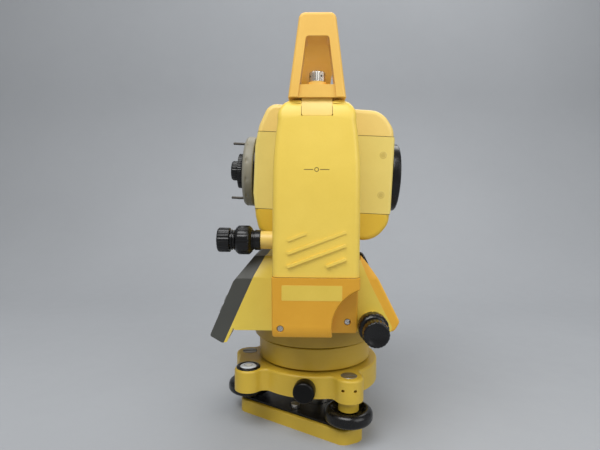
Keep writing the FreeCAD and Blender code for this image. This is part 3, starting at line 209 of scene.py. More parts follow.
paint = {
    "cover_yellow": painted("cover_yellow", (234, 203, 86)),
    "tab_yellow": painted("tab_yellow", (234, 202, 108)),
    "handle_amber": painted("handle_amber", (236, 188, 88), MOULDED),
    "lower_amber": painted("lower_amber", (214, 157, 38), MOULDED),
    "front_amber": painted("front_amber", (226, 170, 46), MOULDED),
    # the top shell's lighter and the bottom shell's darker, deeper yellow are partly their own
    # paint and partly painted light from above and painted shade underneath
    "telescope_middle": painted("telescope_middle", (230, 208, 114)),
    "telescope_top": painted("telescope_top", (238, 207, 118)),
    "telescope_bottom": painted("telescope_bottom", (222, 184, 52)),
    "base_yellow": painted("base_yellow", (222, 196, 78)),
    # painted shade: the lower housing and the flange get darker copies of the cast yellow, for the
    # shade under the alidade
    "collar_yellow_shaded": painted("collar_yellow_shaded", (188, 156, 44)),
    "flange_yellow_shaded": painted("flange_yellow_shaded", (172, 142, 40)),
    # the tribrach's darker mustard yellow is partly its own paint and partly painted shade of the
    # lower parts
    "tribrach_yellow_and_shade": painted("tribrach_yellow_and_shade", (203, 171, 56)),
    "plug_yellow": painted("plug_yellow", (206, 184, 98)),
    "label_yellow": painted("label_yellow", (219, 190, 76), MOULDED),
    "recess_brown": finish_material("recess_brown", (92, 76, 34), (104, 86, 40), (76, 62, 28),
        (120, 100, 50), 0.7),
    "seam": finish_material("seam_shadow", (66, 54, 26), (76, 62, 30), (52, 42, 20), (84, 70, 36),
        0.8, wear_amount=0.1),
    "grey_plastic": finish_material("grey_plastic", (68, 69, 64), (76, 77, 72), (58, 59, 55),
        (104, 104, 98), 0.5, bump=0.08, grain=1500.0),
    "key_rubber": finish_material("key_rubber", (128, 130, 128), (138, 140, 138), (112, 114, 112),
        (160, 160, 158), 0.55),
    "key_mark": finish_material("key_mark", (226, 226, 220), (234, 234, 228), (210, 210, 204),
        (240, 240, 236), 0.5),
    "key_red": finish_material("key_red", (190, 60, 46), (202, 70, 54), (170, 50, 38),
        (220, 110, 90), 0.5),
    "ring_grey": finish_material("ring_grey", (142, 138, 123), (153, 149, 133), (127, 123, 109),
        (180, 175, 158), 0.5, 0.05, bump=0.03),
    "post_steel": finish_material("post_steel", (78, 74, 68), (90, 85, 78), (62, 58, 53),
        (140, 134, 124), 0.34, 0.8),
    "knob_black": finish_material("knob_black", (8, 8, 9), (12, 12, 13), (5, 5, 6), roughness=0.26,
        **GLOSSY),
    "lock_black": finish_material("lock_black", (6, 6, 6), (9, 9, 9), (4, 4, 4), (60, 60, 58), 0.34,
        wear_amount=0.2, bump=0.006, specular=0.2),
    "plate_black": finish_material("plate_black", (10, 10, 11), (15, 15, 16), (7, 7, 8),
        roughness=0.34, **GLOSSY),
    "bright_steel": finish_material("bright_steel", (206, 203, 197), (220, 218, 212),
        (176, 172, 164), (236, 235, 232), 0.26, 1.0),
    "cap_steel": finish_material("cap_steel", (150, 145, 134), (166, 161, 150), (126, 121, 110),
        (206, 202, 194), 0.36, 0.9),
    "brass": finish_material("turned_brass", (190, 150, 80), (200, 160, 90), (160, 120, 60),
        (220, 190, 120), 0.3, 1.0),
    # painted reflection: the dark lens colour drifts between purple and green tints that stand in
    # for the coating's coloured reflections
    "coated_lens_painted_sheen": finish_material("coated_lens_painted_sheen", (14, 18, 26), (24, 20, 40), (8, 22, 22),
        (40, 40, 60), 0.05, bump=0.0, coat=1.0, specular=0.9, wear_amount=0.0),
    # the vials' bluish white is partly the liquid's own white and partly a painted bluish
    # reflection
    "vial_white_and_painted_sheen": finish_material("vial_white_and_painted_sheen", (232, 240, 250), (242, 248, 255), (212, 222, 236),
        (246, 250, 252), 0.08, bump=0.0, coat=1.0, specular=0.8, wear_amount=0.0),
    "bubble": finish_material("bubble_glass", (240, 243, 240), (248, 250, 248), (226, 230, 226),
        (250, 250, 250), 0.05, bump=0.0, coat=1.0, specular=0.9, wear_amount=0.0),
    "mark": finish_material("printed_black", (30, 30, 30), (38, 38, 38), (22, 22, 22), (60, 60, 60),
        0.5),
    "pane_black": finish_material("pane_black", (16, 17, 18), (20, 22, 23), (12, 12, 13),
        (40, 40, 42), 0.08, bump=0.0, coat=1.0, specular=0.7, wear_amount=0.1),
    "lcd": finish_material("display_grey_green", (148, 158, 132), (156, 166, 140), (136, 146, 120),
        (150, 160, 134), 0.16, bump=0.0, coat=0.8, patch=40.0, wear_amount=0.0),
    "clear_glass": glass_material("clear_glass", (0.96, 0.98, 0.97)),
}

BY_SLOT = {
    "yellow_cover": "cover_yellow", "orange_cover": "lower_amber", "yellow_cast": "base_yellow",
    "mustard_cast": "tribrach_yellow_and_shade", "dark_grey": "grey_plastic", "key_grey": "key_rubber",
    "brown_grey": "ring_grey", "black": "knob_black", "black_plate": "plate_black",
    "steel": "cap_steel", "chrome": "bright_steel", "brass": "brass", "glass": "clear_glass",
    "tinted_glass": "pane_black"}
BY_NODE = {
    "standard_frame_right": "tab_yellow", "standard_frame_left": "tab_yellow",
    "handle": "handle_amber", "front_cover": "front_amber", "telescope_body": "telescope_middle",
    "telescope_top": "telescope_top", "telescope_bottom": "telescope_bottom",
    "lower_housing": "collar_yellow_shaded", "rotating_flange": "flange_yellow_shaded",
    "objective_lens": "coated_lens_painted_sheen", "focusing_lens": "coated_lens_painted_sheen", "drive_bosses": "tab_yellow",
    "tripod_bush": "bright_steel", "base_screws": "bright_steel"}
for name, node in nodes.items():
    slot_name = node.data.materials[0].name
    node.data.materials.clear()
    node.data.materials.append(paint[BY_NODE.get(name, BY_SLOT[slot_name])])


# ---------------------------------------------------------------- sizes shared with the CAD parts

# millimetres; the telescope's own sizes run back from its pivot
EYE_FRONT, EYE_RIM, EYE_END = 58.0, 72.5, 79.0
RING_RADIUS, RING_FRONT, RING_END = 32.3, 56.0, 65.6
POST_CIRCLE, POST_END = 25.5, 78.8
BARREL_RADIUS, BARREL_END = 15.8, 72.2
TELESCOPE_PLUG = (56.5, 40.5, 17.0)
TELESCOPE_JOINTS = (-33.3, 32.8)
SEAM_WIDTH = 0.34
COVER_SCREWS = ((-27.5, -85.4, 104.3), (25.8, -72.2, 106.6))
LABEL_BOX = (-26.4, 20.4, 126.8, 138.8)
DISPLAY_TOP, DISPLAY_KNEE, KEYS_FOOT = (-51.9, 156.6), (-68.4, 136.5), (-88.3, 90.3)
KEY_ROWS, KEY_COLUMNS, RED_KEY = (19.4, 29.2), (-37.0, 0.0, 37.0), 6
PLUMMET_PLACE, PLUMMET_RISE = (50.2, 0.0, 143.6), math.radians(25)
LOCK_HEIGHT, LOCK_ANGLE = 46.0, math.radians(-97.6)
FOOT_CIRCLE, BASE_TURN = 63, 2.7
FOOT_CAPS = ((180.0, 12), (-60.0, -4), (60.0, 50))
EDGE_ROUNDING = {"base_plate": 0.6, "tribrach_body": 0.5, "handle": 0.5, "right_cover": 0.2}
CRISP = ("display_housing",)
MM = 0.001
TELESCOPE_TILT = math.radians(2.35)
PIVOT = Vector((0.0, 0.0, 228.0 * MM))

TELESCOPE = Matrix.Translation(PIVOT) @ Matrix.Rotation(TELESCOPE_TILT, 4, "Y")
AHEAD_TO_REAR = Matrix(((0, 0, -1, 0), (0, 1, 0, 0), (1, 0, 0, 0), (0, 0, 0, 1)))
AHEAD_TO_SIDE = Matrix(((1, 0, 0, 0), (0, 0, -1, 0), (0, 1, 0, 0), (0, 0, 0, 1)))


def middle(node):
    low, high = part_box(node)
    return (low + high) / 2


# ---------------------------------------------------------------- shapes

GROOVE_SHARPNESS = {"ridges": 1, "lobes": 10, "dimples": 9}


def groove(angle, teeth, kind):
    """Depth pattern round a turned piece: 0 on a tooth, 1 in a groove."""
    wave = 0.5 - 0.5 * math.cos(teeth * angle)
    return wave ** GROOVE_SHARPNESS[kind]


def lathe(shape, profile, teeth=0, kind="ridges", closed=False, segments=72, matrix=None):
    """Turn (radius, height, groove depth) points in millimetres about Z."""
    if teeth:
        segments = teeth * (16 if kind == "dimples" else 8)
    rings = []
    for radius, height, *rest in profile:
        depth = rest[0] if rest else 0.0
        if radius == 0.0:
            rings.append([shape.verts.new((0.0, 0.0, height * MM))])
            continue
        ring = []
        for index in range(segments):
            angle = 2.0 * math.pi * index / segments
            reach = (radius - (depth * groove(angle, teeth, kind) if depth else 0.0)) * MM
            ring.append(shape.verts.new((reach * math.cos(angle), reach * math.sin(angle),
                                         height * MM)))
        rings.append(ring)
    pairs = list(zip(rings, rings[1:]))
    if closed:
        pairs.append((rings[-1], rings[0]))
    faces = []
    for first, second in pairs:
        for index in range(segments):
            after = (index + 1) % segments
            corners = []
            for vert in (first[index % len(first)], first[after % len(first)],
                         second[after % len(second)], second[index % len(second)]):
                if vert not in corners:
                    corners.append(vert)
            if len(corners) > 2:
                faces.append(shape.faces.new(corners))
    if matrix is not None:
        bmesh.ops.transform(shape, matrix=matrix, verts=[vert for ring in rings for vert in ring])
    bmesh.ops.recalc_face_normals(shape, faces=faces)


def block(shape, size, matrix):
    """A closed box, used as a cutter or rounded by its caller."""
    made = bmesh.ops.create_cube(shape, size=1.0)["verts"]
    bmesh.ops.scale(shape, vec=[s * MM for s in size], verts=made)
    bmesh.ops.transform(shape, matrix=matrix, verts=made)


def to_mesh(shape, name):
    mesh = bpy.data.meshes.new(name)
    bmesh.ops.recalc_face_normals(shape, faces=shape.faces[:])
    shape.to_mesh(mesh)
    shape.free()
    return mesh


def carve(mesh, cutter, name):
    """The mesh with the cutter's volume taken out."""
    scene = bpy.context.scene.collection.objects
    target = bpy.data.objects.new("target", mesh)
    tool = bpy.data.objects.new("tool", cutter)
    scene.link(target)
    scene.link(tool)
    step = target.modifiers.new("cut", "BOOLEAN")
    step.object = tool
    step.operation = "DIFFERENCE"
    step.solver = "EXACT"
    graph = bpy.context.evaluated_depsgraph_get()
    result = bpy.data.meshes.new_from_object(target.evaluated_get(graph))
    result.name = name
    bpy.data.objects.remove(target)
    bpy.data.objects.remove(tool)
    return result


def piece(name, mesh, body, material, matrix=None, stands_for=(), round_edges=0.0,
          sharp=35.0):
    """Put a finished mesh in the scene as one named piece that rides on a body."""
    made = bpy.data.objects.new(name, mesh)
    bpy.context.scene.collection.objects.link(made)
    if matrix is not None:
        made.matrix_world = matrix
    mesh.materials.clear()
    mesh.materials.append(material)
    mesh.shade_smooth()
    mesh.set_sharp_from_angle(angle=math.radians(sharp))
    if round_edges:
        bevel = made.modifiers.new("edges", "BEVEL")
        bevel.width = round_edges * MM
        bevel.segments = 2
        bevel.limit_method = "ANGLE"
        bevel.angle_limit = math.radians(sharp)
        bevel.harden_normals = True
    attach(made, body)
    if stands_for:
        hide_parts(*stands_for)
    return made


def turned(name, profile, body, slot, material, matrix=None, stands_for=(), sharp=35.0, **lathing):
    """One piece turned from its profile."""
    shape = bmesh.new()
    lathe(shape, profile, **lathing)
    piece(name, to_mesh(shape, name), body, material, matrix=matrix,
          stands_for=stands_for, sharp=sharp)


def soften(node):
    """Round the sharp edges of a carried-over part as moulding and painting do.
    A part in CRISP keeps its edges, because its many wells leave no room beside them."""
    part = nodes[node]
    if "custom_normal" in part.data.attributes:
        part.data.attributes.remove(part.data.attributes["custom_normal"])
    part.data.shade_smooth()
    if node in CRISP:
        part.data.set_sharp_from_angle(angle=math.radians(28.0))
        return
    weld = part.modifiers.new("weld", "WELD")
    weld.merge_threshold = 2e-6
    flat = part.modifiers.new("flat", "DECIMATE")
    flat.decimate_type = "DISSOLVE"
    flat.angle_limit = math.radians(0.6)
    edges = part.modifiers.new("edges", "BEVEL")
    edges.width = EDGE_ROUNDING.get(node, 0.35) * MM
    edges.segments = 2
    edges.limit_method = "ANGLE"
    edges.angle_limit = math.radians(28.0)
    edges.miter_outer = "MITER_ARC"
    even = part.modifiers.new("even", "WEIGHTED_NORMAL")
    even.weight = 60
    even.keep_sharp = False


RAY_START = 0.2


def surface(node):
    """A tree to find points on a node's skin."""
    mesh = nodes[node].data
    return BVHTree.FromPolygons([v.co.copy() for v in mesh.vertices],
                                [tuple(p.vertices) for p in mesh.polygons])


def on_face(tree, x, z, side):
    """The point of the skin at x and z, seen from the given side in Y."""
    return tree.ray_cast(Vector((x * MM, side * RAY_START, z * MM)), Vector((0, -side, 0)))[0]


def inlay(name, outlines, node, side, proud, depth, body, material):
    """Thin plates with the given outlines, laid on a node's curved face."""
    tree = surface(node)
    shape = bmesh.new()
    for outline in outlines:
        top, low = [], []
        for x, z in outline:
            hit = on_face(tree, x, z, side)
            top.append(shape.verts.new(hit + Vector((0, side * proud * MM, 0))))
            low.append(shape.verts.new(hit - Vector((0, side * depth * MM, 0))))
        shape.faces.new(top)
        shape.faces.new(low[::-1])
        for index in range(len(top)):
            after = (index + 1) % len(top)
            shape.faces.new((top[index], low[index], low[after], top[after]))
    piece(name, to_mesh(shape, name), body, material, round_edges=0.06)


def seam_strip(name, node, origin, direction, width, body, material, matrix=None):
    """A thin dark joint line that follows a node's skin between two close planes."""
    shape = bmesh.new()
    shape.from_mesh(nodes[node].data)
    bmesh.ops.remove_doubles(shape, verts=shape.verts[:], dist=2e-6)
    origin, direction = Vector(origin), Vector(direction)
    for sign in (1, -1):
        place = origin + direction * sign * width * 0.5 * MM
        bmesh.ops.bisect_plane(shape, geom=shape.verts[:] + shape.edges[:] + shape.faces[:],
                               dist=1e-7, plane_co=place, plane_no=direction * sign,
                               clear_outer=True)
    loose = [f for f in shape.faces if abs(f.normal.dot(direction)) > 0.5]
    bmesh.ops.delete(shape, geom=loose, context="FACES")
    mesh = bpy.data.meshes.new(name)
    shape.to_mesh(mesh)
    shape.free()
    shell = piece(name, mesh, body, material).modifiers.new("thick", "SOLIDIFY")
    shell.thickness = 0.09 * MM
    shell.offset = 0.3


# ---------------------------------------------------------------- turned controls

def drive_screw(node, turn, reach, knob_from, spot):
    """Ribbed slow motion knob on its waisted neck."""
    end = reach[1]
    knob = end - knob_from
    turned(node + "_knob", [
        (0.0, reach[0]), (3.8, reach[0]), (3.8, knob - 4.0), (8.4, knob - 4.0), (8.6, knob - 3.4),
        (7.6, knob - 2.9), (7.6, knob - 2.2), (8.5, knob - 1.7), (8.5, knob - 1.2),
        (7.7, knob - 0.8), (7.7, knob), (8.9, knob), (9.9, knob + 0.5), (10.2, knob + 1.1, 0.55),
        (10.2, end - 1.6, 0.55), (9.9, end - 0.7, 0.2), (9.2, end - 0.1), (8.6, end),
        (7.9, end), (7.5, end - 0.35), (0.0, end - 0.35)],
        node, "black", paint["knob_black"], teeth=22,
        matrix=Matrix.Translation(spot) @ turn, stands_for=(node,), sharp=50.0)


def clamp_collar(node, turn, reach, spot):
    """Lobed clamp ring with bevelled shoulders and a grooved neck."""
    low, high = reach
    ring = high - 13.4
    turned(node + "_ring", [
        (4.2, low), (8.4, low), (8.4, ring - 2.6), (7.8, ring - 2.2), (7.8, ring - 1.4),
        (8.4, ring - 1.0), (8.4, ring), (9.6, ring), (10.2, ring + 0.3), (11.7, ring + 2.0, 0.25),
        (12.0, ring + 2.6, 0.5), (12.0, high - 2.6, 0.5), (11.7, high - 2.0, 0.25),
        (10.2, high - 0.3), (9.6, high), (4.2, high)],
        node, "black", paint["knob_black"], teeth=14, kind="lobes", closed=True,
        matrix=Matrix.Translation(spot) @ turn, stands_for=(node,), sharp=50.0)


def span(node, axis):
    """How far a node lies from the upright axis, nearest and farthest, in millimetres."""
    low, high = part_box(node)
    return sorted((abs(low[axis]) / MM, abs(high[axis]) / MM))


def make_drives():
    for drive, axis, turn, knob_from in (("vertical", 0, AHEAD_TO_REAR, 10.5),
                                         ("horizontal", 1, AHEAD_TO_SIDE, 10.0)):
        screw, clamp = drive + "_tangent_screw", drive + "_clamp"
        spot = middle(screw)
        spot[axis] = 0.0
        drive_screw(screw, turn, span(screw, axis), knob_from, spot)
        clamp_collar(clamp, turn, span(clamp, axis), spot)


def make_eyepiece():
    turned("eyepiece_cup", [
        (5.0, EYE_FRONT), (8.7, EYE_FRONT), (8.7, EYE_RIM), (8.8, EYE_RIM + 0.1),
        (9.2, EYE_RIM + 0.6, 0.5), (9.2, EYE_END - 1.6, 0.5), (8.8, EYE_END - 0.7, 0.2),
        (8.0, EYE_END), (7.2, EYE_END), (6.4, EYE_END - 0.2), (5.8, EYE_END - 1.6),
        (5.0, EYE_END - 2.4)],
        "eyepiece", "black", paint["knob_black"], teeth=20, closed=True,
        matrix=TELESCOPE @ AHEAD_TO_REAR, stands_for=("eyepiece",), sharp=50.0)
    turned("eyepiece_lens", [
        (0.0, EYE_FRONT + 1.0), (5.0, EYE_FRONT + 1.0), (5.0, EYE_END - 3.6),
        (3.6, EYE_END - 3.0), (0.0, EYE_END - 2.7)],
        "eyepiece", "glass", paint["coated_lens_painted_sheen"], segments=48, matrix=TELESCOPE @ AHEAD_TO_REAR)


def make_focusing_ring():
    radius, front, back = RING_RADIUS, RING_FRONT, RING_END
    turned("focusing_ring_grip", [
        (29.3, front), (radius - 1.0, front), (radius - 0.2, front + 0.5), (radius, front + 1.0),
        (radius, front + 3.8), (radius, front + 4.3, 0.3), (radius, front + 4.8, 0.65),
        (radius, front + 5.4, 0.8), (radius, front + 6.0, 0.65), (radius, front + 6.5, 0.3),
        (radius, front + 6.8), (radius - 0.3, back - 2.2), (radius - 0.9, back - 1.2),
        (radius - 1.9, back - 0.4), (radius - 3.0, back),
        (28.6, back), (28.3, back - 0.35), (20.0, back - 0.35), (19.6, back), (16.2, back),
        (16.2, back - 1.1), (29.3, back - 1.1)],
        "focusing_ring", "brown_grey", paint["ring_grey"], teeth=12, kind="dimples", closed=True,
        matrix=TELESCOPE @ AHEAD_TO_REAR, stands_for=("focusing_ring",), sharp=45.0)
    shape = bmesh.new()
    for sign in (-1, 1):
        lathe(shape, [
            (0.0, back - 1.2), (1.2, back - 1.2), (1.2, POST_END - 0.5), (0.8, POST_END),
            (0.0, POST_END)], segments=20,
            matrix=Matrix.Translation((sign * POST_CIRCLE * MM, 0, 0)))
    piece("focusing_posts", to_mesh(shape, "focusing_posts"), "focusing_ring",
          paint["post_steel"], matrix=TELESCOPE @ AHEAD_TO_REAR)


def make_barrel_sleeve():
    """Ridged black sleeve on the eyepiece barrel, behind the focusing ring."""
    start, end, radius = RING_END + 0.5, BARREL_END + 0.1, BARREL_RADIUS
    turned("barrel_sleeve", [
        (radius - 1.0, start), (radius + 0.2, start), (radius + 0.2, start + 1.0),
        (radius - 0.1, start + 1.2), (radius - 0.1, start + 1.8), (radius + 0.2, start + 2.1),
        (radius + 0.45, start + 2.4, 0.4), (radius + 0.45, end - 0.7, 0.4),
        (radius + 0.1, end - 0.15), (radius - 0.6, end), (radius - 1.6, end),
        (radius - 1.6, end - 0.4), (radius - 1.0, end - 0.4)],
        "telescope", "black", paint["knob_black"], teeth=48, closed=True,
        matrix=TELESCOPE @ AHEAD_TO_REAR, sharp=50.0)


def make_lock_knob():
    """Plain black clamp knob of the tribrach, its rim rolled over to a flat face."""
    spot = Matrix.Translation((0, 0, LOCK_HEIGHT * MM)) @ Matrix.Rotation(LOCK_ANGLE, 4, "Z")
    turned("tribrach_lock_grip", [
        (0.0, 48.5), (2.8, 48.5), (2.8, 60.4), (6.9, 60.4), (8.5, 60.8), (9.1, 61.6), (9.3, 63.0),
        (9.3, 68.8), (9.1, 70.3), (8.6, 71.4), (7.8, 72.1), (6.9, 72.4), (6.5, 72.2), (0.0, 72.2)],
        "lock_knob", "black", paint["lock_black"], segments=64,
        matrix=spot @ Matrix.Rotation(math.pi / 2, 4, "Y"), stands_for=("tribrach_lock_knob",),
        sharp=50.0)


def make_handle_locks():
    """Knurled screw heads with four radial tommy bar holes."""
    for name in ("right", "left"):
        node = "handle_lock_" + name
        place = middle(node)
        low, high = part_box(node)[0].z / MM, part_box(node)[1].z / MM
        seat = high - 8.0
        shape = bmesh.new()
        lathe(shape, [
            (0.0, low), (3.0, low), (3.0, seat), (5.4, seat), (6.2, seat + 0.4),
            (6.4, seat + 0.9, 0.35), (6.4, high - 0.9, 0.35), (6.2, high - 0.4), (5.6, high),
            (4.6, high), (4.3, high - 0.3), (0.0, high - 0.3)], teeth=30)
        cutter = bmesh.new()
        for index in range(4):
            turn = Matrix.Rotation(math.radians(32 + 90 * index), 4, "Z")
            lathe(cutter, [(0.0, 2.6), (0.85, 2.6), (0.85, 7.0), (0.0, 7.0)], segments=16,
                  matrix=turn @ Matrix.Translation((0, 0, (seat + 4.2) * MM))
                  @ Matrix.Rotation(math.pi / 2, 4, "Y"))
        mesh = carve(to_mesh(shape, node + "_solid"), to_mesh(cutter, node + "_holes"),
                     node + "_head")
        piece(node + "_head", mesh, node, paint["bright_steel"],
              matrix=Matrix.Translation((place.x, place.y, 0)), stands_for=(node,), sharp=50.0)


def make_plummet_ring():
    spot = (Matrix.Translation(Vector(PLUMMET_PLACE) * MM)
            @ Matrix.Rotation(-PLUMMET_RISE, 4, "Y") @ Matrix.Rotation(math.pi / 2, 4, "Y"))
    turned("plummet_ring_grip", [
        (7.05, -9.6), (11.6, -9.6), (12.4, -9.2), (13.0, -8.6, 0.5), (13.0, -2.4, 0.5),
        (12.6, -1.6, 0.2), (11.6, -0.5), (10.8, 0.0), (8.0, 0.0), (7.0, -0.5), (4.8, -0.9),
        (4.2, -1.6), (4.2, -3.2), (7.05, -3.2)],
        "plummet_ring", "black", paint["knob_black"], teeth=32, closed=True, matrix=spot,
        stands_for=("plummet_ring",), sharp=50.0)


def make_objective():
    """Stepped glare thread inside the objective's bezel."""
    profile = [(27.6, 71.6)]
    for index in range(6):
        place = 71.4 + index * 0.55
        profile += [(26.55 + index * 0.27, place), (27.05 + index * 0.27, place + 0.28)]
    profile += [(28.4, 74.9), (28.9, 74.6), (28.9, 71.6)]
    turned("objective_thread", profile, "telescope", "black", paint["knob_black"], closed=True,
           segments=96, matrix=TELESCOPE @ Matrix.Rotation(math.pi / 2, 4, "Y"), sharp=20.0)


# ---------------------------------------------------------------- screws and small fittings

def cross_head(shape, cutters, spot, radius, height, turn):
    """A domed head with a cross recess, its top along local Z."""
    lathe(shape, [(0.0, -3.0), (1.2, -3.0), (1.2, 0.0), (radius, 0.0), (radius, height * 0.35),
                  (radius * 0.86, height * 0.72), (radius * 0.5, height * 0.95), (0.0, height)],
          segments=40, matrix=spot)
    for cutter, angle in zip(cutters, (turn, turn + math.pi / 2)):
        block(cutter, (radius * 1.15, radius * 0.27, height * 1.4),
              spot @ Matrix.Rotation(angle, 4, "Z") @ Matrix.Translation((0, 0, height * MM)))


def make_cover_screws():
    """Cross-head screws of the lower cover. Each arm of the recess is cut by itself, because the
    arms overlap and one cutter has to be a clean solid."""
    shape, cutters = bmesh.new(), (bmesh.new(), bmesh.new())
    for index, (x, y, z) in enumerate(COVER_SCREWS):
        spot = Matrix.Translation(Vector((x, y + 1.4, z)) * MM) @ AHEAD_TO_SIDE
        cross_head(shape, cutters, spot, 2.5, 1.35, 0.35 + index * 0.7)
    mesh = to_mesh(shape, "screw_solid")
    for cutter in cutters:
        mesh = carve(mesh, to_mesh(cutter, "screw_slot"), "cover_screw_heads")
    piece("cover_screw_heads", mesh, "alidade", paint["bright_steel"],
          stands_for=("cover_screws",), sharp=35.0)


def make_foot_caps():
    """Slotted caps over the foot screws, each slot as its screw happens to stand."""
    low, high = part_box("foot_caps")
    top = high.z / MM
    shape, cutter = bmesh.new(), bmesh.new()
    for degrees, slot_turn in FOOT_CAPS:
        angle = math.radians(degrees - BASE_TURN)
        spot = Matrix.Translation((FOOT_CIRCLE * MM * math.cos(angle),
                                   FOOT_CIRCLE * MM * math.sin(angle), 0))
        lathe(shape, [(0.0, low.z / MM), (7.0, low.z / MM), (7.0, top - 0.5), (6.5, top),
                      (0.0, top)], segments=56, matrix=spot)
        block(cutter, (16.0, 2.3, 1.2), spot @ Matrix.Translation((0, 0, top * MM))
              @ Matrix.Rotation(math.radians(slot_turn), 4, "Z"))
    mesh = carve(to_mesh(shape, "caps_solid"), to_mesh(cutter, "caps_slots"), "foot_cap_discs")
    piece("foot_cap_discs", mesh, "tribrach", paint["cap_steel"],
          stands_for=("foot_caps",), sharp=35.0)


def make_circular_level():
    """Bull's-eye level: ring, domed glass, the printed circle and the bubble."""
    place = middle("circular_level_vial")
    low, top = (corner.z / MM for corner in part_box("circular_level_case"))
    spot = Matrix.Translation((place.x, place.y, 0))
    turned("level_ring", [
        (0.0, low), (10.5, low), (10.5, top - 1.5), (10.2, top - 0.9), (9.6, top - 0.6),
        (8.2, top - 0.6), (7.7, top - 0.8), (7.45, top - 1.2), (7.45, low + 2.0), (0.0, low + 2.0)],
        "tribrach", "black", paint["knob_black"], segments=72, matrix=spot,
        stands_for=("circular_level_case",), sharp=40.0)
    turned("level_glass", [
        (0.0, low + 2.0), (7.2, low + 2.0), (7.2, top - 1.1), (6.9, top - 0.75),
        (5.6, top - 0.45), (3.8, top - 0.25), (1.9, top - 0.12), (0.0, top - 0.08)],
        "tribrach", "glass", paint["vial_white_and_painted_sheen"], segments=64, matrix=spot,
        stands_for=("circular_level_vial",), sharp=40.0)
    turned("level_circle_mark", [
        (3.35, top - 0.5), (3.35, top - 0.13), (3.6, top - 0.12), (3.6, top - 0.5)],
        "tribrach", "black", paint["mark"], segments=48, closed=True, matrix=spot)
    shape = bmesh.new()
    lathe(shape, [
        (0.0, top - 0.6), (2.3, top - 0.5), (2.45, top - 0.2), (2.1, top - 0.02), (1.2, top),
        (0.0, top)], segments=40, matrix=Matrix.Translation((0.5 * MM, 0.3 * MM, 0)))
    piece("level_bubble", to_mesh(shape, "level_bubble"), "tribrach", paint["bubble"],
          matrix=spot)


def make_plate_vial():
    """Tubular vial in the plate level's slot, with two rings either side of its middle."""
    low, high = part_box("plate_level")
    centre = Matrix.Translation(((low.x + high.x) / 2, 0, high.z - 2.2 * MM))
    spot = centre @ Matrix.Rotation(math.pi / 2, 4, "X")
    radius = 4.1
    shape = bmesh.new()
    lathe(shape, [(0.0, -19.2), (2.4, -19.0), (3.9, -17.6), (radius, -15.0), (radius, 15.0),
                  (3.9, 17.6), (2.4, 19.0), (0.0, 19.2)], segments=48, matrix=spot)
    piece("plate_vial", to_mesh(shape, "plate_vial"), "alidade", paint["vial_white_and_painted_sheen"],
          sharp=50.0)
    shape = bmesh.new()
    for place in (-5.4, 5.4):
        lathe(shape, [(radius, place - 0.2), (radius + 0.08, place - 0.2),
                      (radius + 0.08, place + 0.2), (radius, place + 0.2)],
              segments=48, closed=True, matrix=spot)
    piece("plate_vial_marks", to_mesh(shape, "plate_vial_marks"), "alidade", paint["mark"])


def make_telescope_plugs():
    """Round plugs flush with both sides of the telescope's housing, near its objective."""
    ahead, aside, height = TELESCOPE_PLUG
    shape = bmesh.new()
    for side in (-1, 1):
        for level in (-height, height):
            spot = (TELESCOPE @ Matrix.Translation(Vector((ahead, side * aside, level)) * MM)
                    @ Matrix.Rotation(math.pi / 2 * -side, 4, "X"))
            lathe(shape, [(0.0, -0.6), (3.0, -0.6), (3.0, 0.06), (2.8, 0.16), (2.45, 0.16),
                          (2.25, -0.12), (2.05, -0.12), (1.9, 0.1), (0.0, 0.14)],
                  segments=40, matrix=spot)
    piece("telescope_plugs", to_mesh(shape, "telescope_plugs"), "telescope",
          paint["plug_yellow"], sharp=30.0)


# ---------------------------------------------------------------- marks, labels, display

def rounded_rectangle(low_x, high_x, low_z, high_z, radius, steps=4):
    points = []
    for x, z, start in ((high_x - radius, high_z - radius, 0.0),
                        (low_x + radius, high_z - radius, 90.0),
                        (low_x + radius, low_z + radius, 180.0),
                        (high_x - radius, low_z + radius, 270.0)):
        for step in range(steps + 1):
            turn = math.radians(start + 90.0 * step / steps)
            points.append((x + radius * math.cos(turn), z + radius * math.sin(turn)))
    return points


def arc_outline(x, z, radius, start, stop, steps=14):
    turns = [math.radians(start + (stop - start) * i / steps) for i in range(steps + 1)]
    return [(x + radius * math.cos(turn), z + radius * math.sin(turn)) for turn in turns]


def make_marks():
    """The height mark of the telescope's axis on both covers, and a blank label."""
    height = PIVOT.z / MM - 0.3
    line, near, far = 0.28, 2.6, 9.6
    for side, name in ((-1, "right"), (1, "left")):
        outlines = [[(start, height - line), (stop, height - line),
                     (stop, height + line), (start, height + line)]
                    for start, stop in ((-far, -near), (near, far))]
        for first in (0, 180):
            outlines.append(arc_outline(0, height, 1.75, first, first + 180)
                            + arc_outline(0, height, 1.2, first, first + 180)[::-1])
        inlay("height_mark_" + name, outlines, name + "_cover", side, 0.05, 0.3, "alidade",
              paint["recess_brown"])
    inlay("blank_label", [rounded_rectangle(*LABEL_BOX, 0.8)], "right_lower_cover", -1,
          0.12, 0.3, "alidade", paint["label_yellow"])


def facet_place(first, second):
    """A frame on a sloping facet: X down the slope, Y across, Z outward."""
    start = Vector((first[0], 0.0, first[1])) * MM
    run = (Vector((second[0], 0.0, second[1])) * MM - start).normalized()
    across = Vector((0.0, 1.0, 0.0))
    out = run.cross(across)
    if out.x > 0:
        out, across = -out, -across
    matrix = Matrix((run, across, out)).transposed().to_4x4()
    return Matrix.Translation(start) @ matrix


def plate(name, size, place, offset, body, material, round_edges, stands_for=()):
    """A rounded plate of the given size, at an offset in the place's own frame."""
    shape = bmesh.new()
    block(shape, size, place @ Matrix.Translation(Vector(offset) * MM))
    piece(name, to_mesh(shape, name), body, material, round_edges=round_edges,
          stands_for=stands_for)


